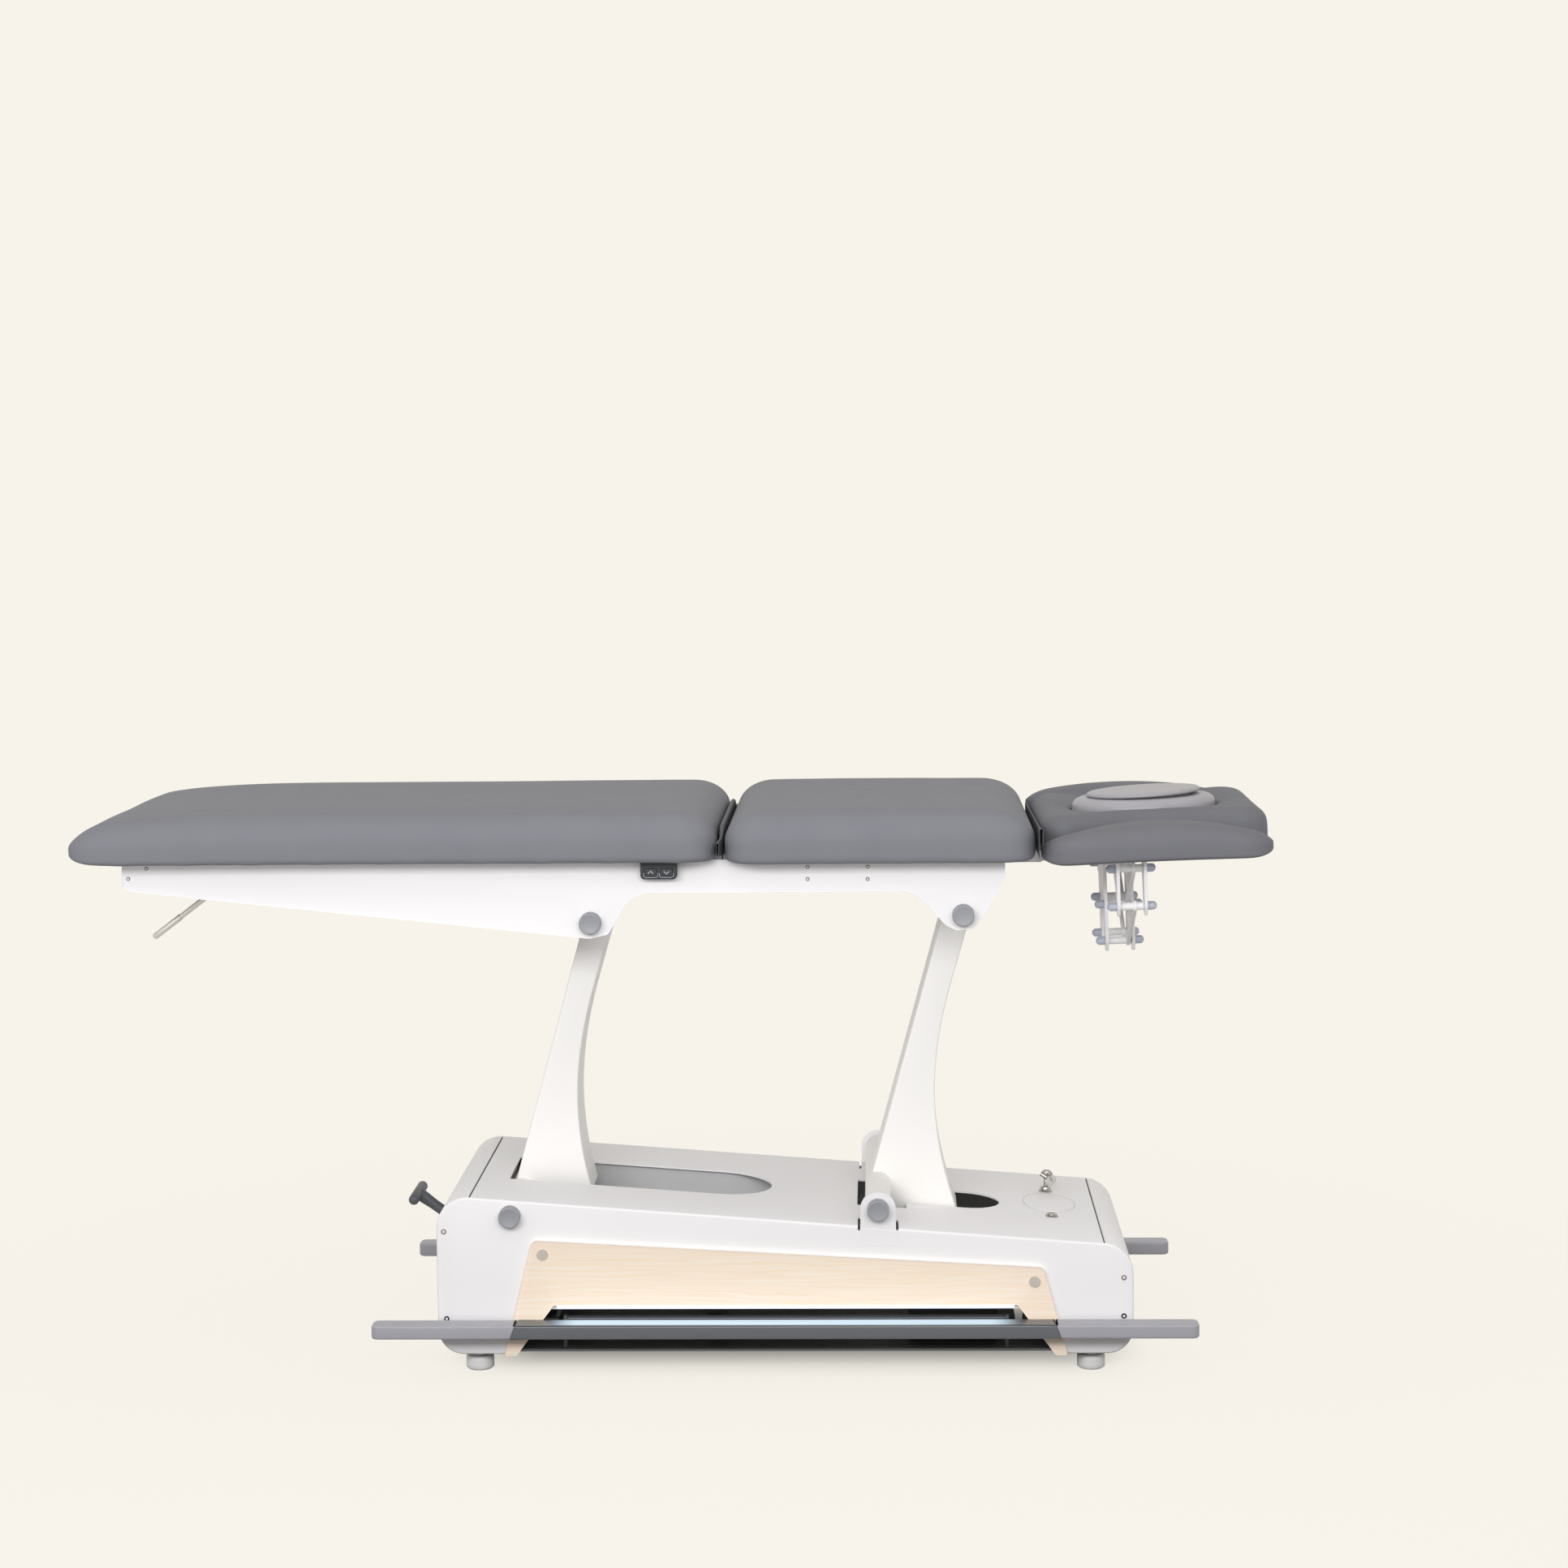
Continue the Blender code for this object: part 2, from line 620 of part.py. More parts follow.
def arm_trough(base):
    """Inner tray under the foot arm's slot that keeps hands and dust out of the base."""
    half = FOOT_SLOT_WIDTH / 2 + 0.012
    start = FOOT_PIVOT_X - HUB_RADIUS - 0.0035
    end = FOOT_SLOT_END + 0.010
    low = FOOT_PIVOT_Z - 0.127
    high = low + 0.06
    wall = 0.002
    under = SHEET + SEAT
    outside = [(start, top_at(start) - under), (start, low), (-0.15, low), (-0.05, high), (end, high),
               (end, top_at(end) - under)]
    inside = [(start + wall, 1), (start + wall, low + wall), (-0.15, low + wall),
              (-0.05, high + wall), (end - wall, high + wall), (end - wall, 1)]
    hub = circle(HUB_RADIUS + 0.003) + (FOOT_PIVOT_X, FOOT_PIVOT_Z)
    solid("arm_trough", prism(outside, -half, half, "XZ"), base, grey_coat(), (),
          [prism(inside, -half + wall, half - wall, "XZ"), prism(hub, -1, 1, "XZ"),
           block((FOOT_PIVOT_X - HUB_RADIUS - 0.003, -1, FOOT_PIVOT_Z),
                 (FOOT_PIVOT_X + HUB_RADIUS + 0.003, 1, 1))])


def wood_panels(base):
    """Oak-faced panels screwed on both sides, notched over the foot bars."""
    toe = BASE_BOTTOM
    corners = [(WOOD_TOE_FOOT, toe, 0.004), (WOOD_TOE_FOOT + WOOD_TOE_WIDTH, toe, 0.004),
               (NOTCH_FOOT, NOTCH_TOP, 0.004), (NOTCH_HEAD, NOTCH_TOP, 0.004),
               (WOOD_TOE_HEAD - WOOD_TOE_WIDTH, toe, 0.004), (WOOD_TOE_HEAD, toe, 0.004),
               (*WOOD_TOP_HEAD, 0.01), (*WOOD_TOP_FOOT, 0.012)]
    for name, side in SIDES:
        inner = side * (SIDE_OUT + SEAT)
        outer = side * (SIDE_OUT + SEAT + WOOD_THICKNESS)
        solid(f"wood_panel_{name}", prism(outline(corners), inner, outer, "XZ"), base, oak())
        top = NOTCH_TOP - SEAT
        lamp = [(inner, top), (outer, top), (outer, top - 0.6 * STRIP_HEIGHT),
                (outer - side * 0.0025, top - STRIP_HEIGHT), (inner, top - STRIP_HEIGHT)]
        inset = 0.005
        solid(f"light_strip_{name}", prism(lamp, NOTCH_FOOT + inset, NOTCH_HEAD - inset, "YZ"),
              base, material("light_strip", (0.8, 0.8, 0.82), 0.3))


def feet(base):
    """Levelling feet under the floor plate."""
    profile = [(0, 0.021), (0.003, 0.0242), (0.022, 0.0242), (0.025, 0.021), (0.025, 0.011),
               (FLOOR_BOTTOM - SEAT, 0.011)]
    for name, side in SIDES:
        centre_y = side * (SIDE_OUT - FOOT_INSET)
        for end, x in (("foot", FOOT_FOOT_X), ("head", FOOT_HEAD_X)):
            solid(f"levelling_foot_{end}_{name}", turned(profile, (x, centre_y), "Z", SMALL_ROUND), base,
                  material("white_plastic", (0.72, 0.71, 0.7), 0.5))


def pivot_pin(name, holder, x, z, plate_face):
    """Pivot pin across the table with a grey cap on each end."""
    seat = plate_face + SEAT
    rim = seat + CAP_HEIGHT
    half = [(rim, CAP_RADIUS - CAP_BEVEL), (rim - CAP_BEVEL, CAP_RADIUS), (seat, CAP_RADIUS),
            (seat, PIN_RADIUS)]
    profile = [(-along, radius) for along, radius in half] + half[::-1]
    solid(name, turned(profile, (x, z), "Y"), holder, grey_plastic())


def lifting_arm(name, holder, root, heel, half_low, half_high, tail):
    """Box arm with a straight back, a flared front and a hub tube at each pivot."""
    heights = np.linspace(ARM_LENGTH, root, 16)
    flare = np.clip((ARM_WAIST - heights) / ARM_WAIST, 0, None) ** ARM_FLARE_POWER
    front = np.stack([ARM_NECK + ARM_FLARE * flare, heights], 1)
    back = [(-ARM_BACK_ROOT, 0.0), (-ARM_BACK_TOP, ARM_LENGTH)]
    shape = np.concatenate([front, heel, back])
    half = ARM_DEPTH / 2
    hubs = [turned([(-half_low, HUB_RADIUS), (half_low, HUB_RADIUS)], (0, 0), "Y"),
            turned([(-half_high, HUB_RADIUS), (half_high, HUB_RADIUS)], (0, ARM_LENGTH), "Y")]
    if tail:
        hubs.append(tail)
    pin = circle(bore(PIN_RADIUS))
    cuts = [prism(pin, -1, 1, "XZ"), prism(pin + (0, ARM_LENGTH), -1, 1, "XZ")]
    solid(name, prism(shape, -half, half, "XZ"), holder, white_coat(), hubs, cuts)


def arms(foot_arm, head_arm):
    """Both lifting arms; the head arm carries the tail that the drive pushes."""
    low = SIDE_IN - SEAT
    high = FRAME_IN - SEAT
    lifting_arm("foot_arm", foot_arm, FOOT_ARM_ROOT, FOOT_ARM_HEEL, low, high, None)
    angle = radians(LIFT_TRAVEL / 2) + LEAN
    tip = np.array((TAIL_LENGTH * sin(angle), -TAIL_LENGTH * cos(angle)))
    across = np.array((cos(angle), sin(angle)))
    half = TAIL_THICKNESS / 2
    plate = [across * 0.016, tip + across * 0.012, tip * 1.09, tip - across * 0.012, across * -0.016]
    tail = prism(plate, -half, half, "XZ")
    lifting_arm("head_arm", head_arm, HEAD_ARM_ROOT, HEAD_ARM_HEEL, low, high, tail)
    reach = half + 0.012
    pin = turned([(-reach, TAIL_PIN), (reach, TAIL_PIN)], tuple(tip), "Y", SMALL_ROUND)
    weld(bpy.data.objects["head_arm"], pin, "tail_pin", "UNION")


def lift_drive(base):
    """Linear drive: a motor and gear housing with a push rod forked round the tail pin."""
    level = drive_height()
    body = [(DRIVE_START, DRIVE_RADIUS), (DRIVE_END, DRIVE_RADIUS)]
    sleeve = turned([(DRIVE_START + 0.012, bore(DRIVE_ROD)), (DRIVE_END + 0.01, bore(DRIVE_ROD))],
                    (0, level), "X")
    motor_y = -(2 * DRIVE_RADIUS + 0.004)
    motor = turned([(DRIVE_START + 0.035, 0.017), (DRIVE_START + 0.045, 0.021), (DRIVE_START + 0.13, 0.021)],
                   (motor_y, level), "X")
    gears = block((DRIVE_START - 0.012, motor_y - 0.022, level - DRIVE_RADIUS),
                  (DRIVE_START + 0.04, 0.001, level + DRIVE_RADIUS))
    solid("lift_drive", turned(body, (0, level), "X"), base, dark_plastic(), [gears, motor], [sleeve])
    pin_x = HEAD_PIVOT_X + TAIL_LENGTH * sin(radians(LIFT_TRAVEL / 2))
    half_x = 0.016
    half_z = TAIL_LENGTH * (1 - cos(radians(LIFT_TRAVEL / 2))) / 2 + TAIL_PIN + 0.004
    tall = half_z + 0.008
    inner = TAIL_THICKNESS / 2 + 0.002
    outer = inner + 0.006
    rod = frame("drive_rod_axis", (pin_x, 0, level))
    fork = block((-half_x - 0.026, -outer, -tall), (half_x, outer, tall))
    window = outline([(-0.0085, -half_z, 0.004), (0.0085, -half_z, 0.004), (0.0085, half_z, 0.004),
                      (-0.0085, half_z, 0.004)])
    bar = turned([(DRIVE_END - pin_x - 0.02, DRIVE_ROD), (-half_x - 0.02, DRIVE_ROD)], (0, 0), "X")
    solid("drive_rod", fork, rod, steel(), [bar],
          [block((-half_x - 0.013, -inner, -1), (1, inner, 1)), prism(window, -1, 1, "XZ")])


def electrics(base):
    """Control box on the floor plate and the corrugated cable loom that leaves it."""
    foot = FLOOR_TOP + SEAT
    outer = -(SIDE_IN - BOX_INSET)
    inner = outer + BOX_WIDTH
    half = BOX_LENGTH / 2
    solid("control_box", block((BOX_X - half, outer, foot), (BOX_X + half, inner, foot + BOX_HEIGHT)),
          base, dark_plastic(), bevel=0.004)
    start = foot + BOX_HEIGHT + 0.001
    plug = BOX_X + LOOM_PLUG
    crest = top_at(plug) - LOOM_DROP
    near = (outer + inner) / 2
    far = -near - 0.01
    bends = LOOM_BEND * np.array((0, 0, 0.3, 0.73, 1, 0.78, 0.25, 0, 0))
    across = (near, near, 0.774 * near, 0.32 * near, 0.14 * far, 0.62 * far, 0.93 * far, far, far)
    heights = (start, start + 0.02, crest - 0.034, crest, crest, crest - 0.036, 0.11, 0.068, foot + 0.001)
    route = np.stack([plug + bends, across, heights], 1)
    ribs = 22
    share = np.linspace(0, 1, 2 * ribs)
    path = smooth_path(route, share)
    ripple = np.where(np.arange(2 * ribs) % 2, 0.0082, 0.0068)
    solid("cable_loom", swept(path, ripple, 8), base, dark_plastic())


def smooth_path(route, share):
    """Points of a Catmull-Rom curve through the route at equal shares of its spans."""
    route = np.asarray(route, float)
    ends = np.concatenate([[2 * route[0] - route[1]], route, [2 * route[-1] - route[-2]]])
    place = np.clip(share, 0, 1) * (len(route) - 1)
    span = np.minimum(place.astype(int), len(route) - 2)
    t = (place - span)[:, None]
    a, b, c, d = (ends[span + i] for i in range(4))
    return 0.5 * (2 * b + (c - a) * t + (2 * a - 5 * b + 4 * c - d) * t ** 2
                  + (3 * b - a - 3 * c + d) * t ** 3)


def key_lock(base):
    """Lock-out switch, its key and the oval service cover, set square on the sloping top."""
    slope = TOP_ANGLE * 180 / pi
    hatch = frame("hatch_seat", (HATCH_X, HATCH_Y, top_at(HATCH_X)), slope)
    solid("service_cover", loft([lift(oval(0.0475, 0.068), SEAT, "XY"), lift(oval(0.0475, 0.068), 0.0012, "XY"),
                                 lift(oval(0.0465, 0.067), 0.002, "XY")]), hatch, white_coat())
    seat = frame("lock_seat", (LOCK_X, LOCK_Y, top_at(LOCK_X)), slope)
    barrel = [(SEAT, 0.0125), (0.002, 0.0125), (0.003, 0.0095), (0.009, 0.009)]
    solid("key_switch", turned(barrel, (0, 0), "Z"), seat, steel())
    turn = frame("key_axis", (LOCK_X, LOCK_Y, top_at(LOCK_X)), slope)
    bow = outline([(-0.004, 0.009 + SEAT, 0), (0.004, 0.009 + SEAT, 0), (0.004, 0.018, 0),
                   (0.011, 0.022, 0.004), (0.011, 0.040, 0.006), (-0.011, 0.040, 0.006),
                   (-0.011, 0.022, 0.004), (-0.004, 0.018, 0)])
    eye = circle(0.003, SMALL_ROUND, (0, 0.034))
    solid("key", prism(bow, -0.0012, 0.0012, "XZ"), turn, steel(), (), [prism(eye, -1, 1, "XZ")])


def bar_section(side):
    """Outline of a foot bar across its length, with both top edges chamfered."""
    out = side * BAR_OUT
    inn = side * (BAR_OUT - BAR_DEPTH)
    low = BAR_BOTTOM
    high = BAR_BOTTOM + BAR_HEIGHT
    cut = BAR_CHAMFER
    return np.array([(out, low), (out, high - cut), (out - side * cut * 0.7, high),
                     (inn + side * 0.004, high), (inn, high - 0.004), (inn, low)])


def foot_bars():
    """Foot control bars on both sides: a dark middle on a pivot tube and two pale ends."""
    for name, side in SIDES:
        axis = frame(f"foot_bar_{name}_axis", (0, side * BAR_AXIS_Y, BAR_AXIS_Z))
        section = bar_section(side) - (side * BAR_AXIS_Y, BAR_AXIS_Z)
        slant = BAR_JOINT_SLANT * section[:, 1]
        middle = loft([lift(section, BAR_JOINT_FOOT + slant + SEAT, "YZ"),
                       lift(section, BAR_JOINT_HEAD - slant - SEAT, "YZ")])
        start = NOTCH_FOOT + 0.02
        end = NOTCH_HEAD - 0.02
        web_out = side * (BAR_OUT - BAR_DEPTH + 0.001 - BAR_AXIS_Y)
        web = block((start, min(0, web_out), -BAR_WEB / 2), (end, max(0, web_out), BAR_WEB / 2))
        pivot = turned([(start, BAR_TUBE_RADIUS), (end, BAR_TUBE_RADIUS)], (0, 0), "X", SMALL_ROUND)
        solid(f"foot_bar_{name}", middle, axis, dark_bar(), [web, pivot])
        centre = side * (BAR_OUT - BAR_DEPTH / 2 - BAR_AXIS_Y)
        for label, joint, tip, way in (("foot", BAR_JOINT_FOOT, BAR_FOOT_X, 1),
                                       ("head", BAR_JOINT_HEAD, BAR_HEAD_X, -1)):
            rings = [lift(section, joint + way * (slant - SEAT), "YZ")]
            for turn in np.radians((0, 30, 60, 80)):
                inset = 1 - BAR_END_ROUND * (1 - cos(turn)) / (BAR_DEPTH / 2)
                ring = section.copy()
                ring[:, 0] = centre + (ring[:, 0] - centre) * inset
                rings.append(lift(ring, tip + way * BAR_END_ROUND * (1 - sin(turn)), "YZ"))
            solid(f"foot_bar_end_{label}_{name}", loft(rings), axis, light_end())


def wheel_set(name, holder, inner):
    """A pair of transport wheels on one axle, carried in the ends of a shaft's arms."""
    axle = frame(f"{name}_axis", (0, 0, 0))
    axle.parent = holder
    axle.location = (-CASTOR_ARM, 0, 0)
    start = inner + 0.001
    end = start + WHEEL_WIDTH
    half = [(end, WHEEL_RADIUS - 0.003), (end - 0.003, WHEEL_RADIUS), (start + 0.003, WHEEL_RADIUS),
            (start, WHEEL_RADIUS - 0.003), (start, AXLE_RADIUS)]
    profile = [(-along, radius) for along, radius in half] + half[::-1]
    solid(name, turned(profile, (0, 0), "Y"), axle, material("wheel_rubber", (0.1, 0.1, 0.11), 0.6))


def castor_lift():
    """Pedal shaft and head shaft that swing the transport wheels down, joined by a tie rod."""
    shaft_half = CASTOR_TRACK / 2 + 0.03
    arm_inner = CASTOR_TRACK / 2 - WHEEL_WIDTH / 2 - 0.001 - 0.005
    pedal = frame("castor_pedal_axis", (PEDAL_X, 0, CASTOR_Z))
    head = frame("castor_head_axis", (CASTOR_HEAD_X, 0, CASTOR_Z))
    rise = radians(PEDAL_RISE)
    tip = np.array((-PEDAL_LENGTH * cos(rise), 0, PEDAL_LENGTH * sin(rise)))
    grip = PEDAL_GRIP_LENGTH / 2
    stem = swept([(0, 0, 0), tip * 0.5, tip], PEDAL_STEM)
    bar = turned([(-grip, PEDAL_GRIP * 0.7), (-grip + 0.004, PEDAL_GRIP), (grip - 0.004, PEDAL_GRIP),
                  (grip, PEDAL_GRIP * 0.7)], (tip[0], tip[2]), "Y", 16)
    tie_lug_y = TIE_Y - 0.008
    for name, holder, extras in (("castor_pedal", pedal, [stem, bar]), ("castor_head_shaft", head, [])):
        shaft = turned([(-shaft_half, CASTOR_SHAFT), (shaft_half, CASTOR_SHAFT)], (0, 0), "Y", 16)
        shapes = list(extras)
        for _, side in SIDES:
            inner = side * arm_inner
            outer = side * (arm_inner + 0.005)
            arm = outline([(-CASTOR_ARM - 0.009, -0.009, 0.0089), (0.006, -0.009, 0), (0.006, 0.009, 0),
                           (-CASTOR_ARM - 0.009, 0.009, 0.0089)])
            shapes.append(prism(arm, min(inner, outer), max(inner, outer), "XZ"))
        lug = [(-0.008, 0), (0.008, 0), (0.008, TIE_RISE + 0.008), (-0.008, TIE_RISE + 0.008)]
        shapes.append(prism(lug, tie_lug_y - 0.006, tie_lug_y, "XZ"))
        shapes.append(turned([(tie_lug_y - 0.003, 0.004), (TIE_Y + 0.005, 0.004)], (0, TIE_RISE), "Y",
                             SMALL_ROUND))
        axle_bore = circle(bore(AXLE_RADIUS, SMALL_ROUND), SMALL_ROUND, (-CASTOR_ARM, 0))
        solid(name, shaft, holder, dark_plastic() if extras else grey_coat(), shapes,
              [prism(axle_bore, -1, 1, "XZ")])
        wheel_set("foot_wheel_set" if extras else "head_wheel_set", holder, arm_inner + 0.005)
    rod = frame("tie_rod_axis", (PEDAL_X, TIE_Y, CASTOR_Z + TIE_RISE))
    span = CASTOR_HEAD_X - PEDAL_X
    strip = outline([(-0.009, -0.009, 0.0089), (span + 0.009, -0.009, 0.0089),
                     (span + 0.009, 0.009, 0.0089), (-0.009, 0.009, 0.0089)])
    eyes = [prism(circle(bore(0.004, SMALL_ROUND), SMALL_ROUND), -1, 1, "XZ"),
            prism(circle(bore(0.0045, SMALL_ROUND), SMALL_ROUND, (span, 0)), -1, 1, "XZ")]
    solid("castor_tie_rod", prism(strip, -0.008 + SEAT, -0.002, "XZ"), rod, steel(), (), eyes)


def side_plates(top):
    """Upper frame plates: a tapered foot end and two lobes round the arm pivots."""
    plate_low = FRAME_TOP - FRAME_FOOT_DROP
    foot = (FOOT_TOP_X, FOOT_TOP_Z)
    head = (HEAD_TOP_X, HEAD_TOP_Z)
    lobe = LOBE_RADIUS
    corners = [(FRAME_FOOT_X, FRAME_TOP, 0), (FRAME_FOOT_X, plate_low, 0.016),
               (foot[0] - 0.002, foot[1] - lobe - 0.001, 0.03),
               (foot[0] + 0.030, foot[1] - lobe + 0.006, 0.012),
               (foot[0] + 0.070, FRAME_BELLY, 0.055), (head[0] - 0.082, FRAME_BELLY, 0.055),
               (head[0] - 0.030, head[1] - 0.018, 0.02), (head[0] - 0.012, head[1] - lobe, 0.012),
               (head[0] + 0.018, head[1] - lobe + 0.002, 0.018),
               (head[0] + 0.038, head[1] + 0.004, 0.02), (FRAME_HEAD_X, FRAME_TOP - 0.035, 0.02),
               (FRAME_HEAD_X, FRAME_TOP, 0)]
    shape = outline(corners) - foot
    pin = circle(bore(PIN_RADIUS))
    offset = np.array(head) - foot
    for name, side in SIDES:
        inner = side * FRAME_IN
        outer = side * FRAME_OUT
        solid(f"side_plate_{name}", prism(shape, inner, outer, "XZ"), top, white_coat(), (),
              [prism(pin, -1, 1, "XZ"), prism(pin + offset, -1, 1, "XZ")])


def shifted(points, holder_place):
    """Corner pairs of a box moved from world places into a holder's frame."""
    return [tuple(np.array(point) - holder_place) for point in points]


def top_frames(top):
    """Cross beam at the foot end and the ladder frame under the fixed middle section."""
    place = np.array((FOOT_TOP_X, 0, FOOT_TOP_Z))
    reach = FRAME_IN - SEAT
    beam = shifted([(FRAME_FOOT_X + 0.008, -reach, FRAME_TOP - 0.036),
                    (FRAME_FOOT_X + 0.038, reach, FRAME_TOP - 0.006)], place)
    solid("foot_cross_beam", block(*beam), top, white_coat(), bevel=0.003)
    high = PAD_BOTTOM - SEAT
    low = high - FRAME_TUBE
    bars = []
    for x in (0.219, 0.320):
        bars.append(block(*shifted([(x, -reach, low), (x + FRAME_TUBE, reach, high - 0.002)], place)))
    for _, side in SIDES:
        inner = side * MID_RAIL
        outer = side * (MID_RAIL + RAIL_WIDTH)
        rail = [(LEG_HINGE_X + 0.02, min(inner, outer), low),
                (HEAD_HINGE_X + 0.012, max(inner, outer), HEAD_HINGE_Z + 0.012)]
        bars.append(block(*shifted(rail, place)))
    tube_half = MID_RAIL + RAIL_WIDTH - 0.002
    bars.append(turned([(-tube_half, 0.006), (tube_half, 0.006)],
                       (HEAD_HINGE_X - place[0], HEAD_HINGE_Z - place[2]), "Y", 16))
    end = shifted([(LEG_HINGE_X + 0.0012, -HINGE_BEAM, low), (LEG_HINGE_X + FRAME_TUBE, HINGE_BEAM, high)], place)
    leaf = leg_hinge_leaf(1, place)
    solid("mid_frame", block(*end), top, white_coat(), bars + leaf)


KNUCKLES = 5
KNUCKLE_RADIUS = 0.0032
LEAF = 0.002
LEAF_HALF = 0.2


def leg_hinge_leaf(way, place):
    """One leaf of the long hinge between two sections: a castellated plate and its knuckles."""
    hinge = np.array((LEG_HINGE_X, LEG_HINGE_Z)) - (place[0], place[2])
    pitch = 2 * LEAF_HALF / KNUCKLES
    below = hinge[1] - KNUCKLE_RADIUS - 0.0013
    low = PAD_BOTTOM - 0.012 - place[2]
    crest = [(LEAF_HALF + 0.001, low), (LEAF_HALF + 0.001, below)]
    barrels = []
    for i in reversed(range(KNUCKLES)):
        if i % 2 == (way < 0):
            continue
        start = -LEAF_HALF + i * pitch + SEAT
        end = start + pitch - 2 * SEAT
        tab_start = start + 0.001
        tab_end = end - 0.001
        crest += [(tab_end, below), (tab_end, hinge[1] - 0.0004), (tab_start, hinge[1] - 0.0004),
                  (tab_start, below)]
        barrels.append(turned([(start, KNUCKLE_RADIUS), (end, KNUCKLE_RADIUS)], tuple(hinge), "Y",
                              SMALL_ROUND))
    crest += [(-LEAF_HALF - 0.001, below), (-LEAF_HALF - 0.001, low)]
    near = hinge[0] + way * 0.0010
    return [prism(crest, near, near + way * LEAF, "YZ"), *barrels]


def cushion(plan_at, rolls, low, thickness, crown, taper=None, sink=0.008):
    """Crowned pad: a tucked lower edge, a full side, a rolled rim and a crown.

    plan_at(share, extra) is the plan drawn in by a share of the rolls and an extra inset, rolls the
    size of the roll at each plan point, and taper the part of the thickness left along the pad.
    """
    top = low + thickness - crown
    rings = [lift(plan_at(0, sink), low, "XY"), lift(plan_at(0, sink * 0.3), low + sink * 0.7, "XY"),
             lift(plan_at(0, 0), low + sink * 1.8, "XY")]
    for turn in np.radians((0, 22, 45, 68, 90)):
        rings.append(lift(plan_at(1 - cos(turn), 0), top - rolls * (1 - sin(turn)), "XY"))
    rim = plan_at(1, 0)
    middle = (rim.max(axis=0) + rim.min(axis=0)) / 2
    for reach, rise in ((0.7, 0.55), (0.35, 0.9), (0.05, 1.0)):
        rings.append(lift(middle + (rim - middle) * reach, top + crown * rise, "XY"))
    if taper:
        for ring in rings:
            ring[:, 2] = low + (ring[:, 2] - low) * taper(ring[:, 0])
    return loft(rings)


def inward(plan):
    """Unit directions into a plan at its points, which run counter-clockwise."""
    along = np.roll(plan, -1, axis=0) - np.roll(plan, 1, axis=0)
    along = along / np.hypot(along[:, 0], along[:, 1])[:, None]
    return np.stack([-along[:, 1], along[:, 0]], 1)


def free_pad(plan, rolls, low, thickness, crown, taper=None):
    """Cushion on any smooth counter-clockwise plan, drawn in square to its edge."""
    into = inward(plan)

    def plan_at(share, extra):
        return plan + into * (rolls * share + extra)[:, None]

    return cushion(plan_at, rolls, low, thickness, crown, taper)


def square_pad(start, end, corner, rolls, low, taper=None):
    """Cushion on a rounded rectangle: (foot, head) corner radii, (foot, side, head) rolls."""
    half = PAD_WIDTH / 2

    def plan_at(share, extra):
        foot, side, head = (roll * share + extra for roll in rolls)
        foot_corner = max(corner[0] - max(foot, side), SHARPEST)
        head_corner = max(corner[1] - max(head, side), SHARPEST)
        corners = [(start + foot, side - half, foot_corner), (end - head, side - half, head_corner),
                   (end - head, half - side, head_corner), (start + foot, half - side, foot_corner)]
        arcs = outline(corners).reshape(4, ARC + 1, 2)
        points = []
        for i, parts in enumerate((PAD_SIDE_PARTS, PAD_END_PARTS) * 2):
            step = arcs[(i + 1) % 4][0] - arcs[i][-1]
            points += list(arcs[i]) + [arcs[i][-1] + step * k / parts for k in range(1, parts)]
        return drawn_in(np.array(points), start, end)

    plan = plan_at(0, 0)
    facing = np.abs(inward(plan)[:, 0])
    ends = np.where(plan[:, 0] < (start + end) / 2, rolls[0], rolls[2])
    sizes = rolls[1] + (ends - rolls[1]) * facing ** 2
    return cushion(plan_at, sizes, low, PAD_THICKNESS, CROWN, taper)


def drawn_in(plan, start, end):
    """Pull the long sides of a plan in between its corners by a little."""
    middle = (start + end) / 2
    bow = np.clip(1 - ((plan[:, 0] - middle) / (end - middle)) ** 2, 0, 1)
    pulled = plan.copy()
    pulled[:, 1] = plan[:, 1] * (1 - DRAW_IN / (PAD_WIDTH / 2) * bow)
    return pulled


def fixed_pad(top):
    """Middle section pad, screwed to the ladder frame."""
    start = LEG_HINGE_X + LEG_CLEAR - FOOT_TOP_X
    pad = square_pad(start, MID_PAD_END - FOOT_TOP_X, (0.03, 0.03), (ROLL, SIDE_ROLL, ROLL),
                     PAD_BOTTOM - FOOT_TOP_Z)
    solid("mid_pad", pad, top, vinyl())


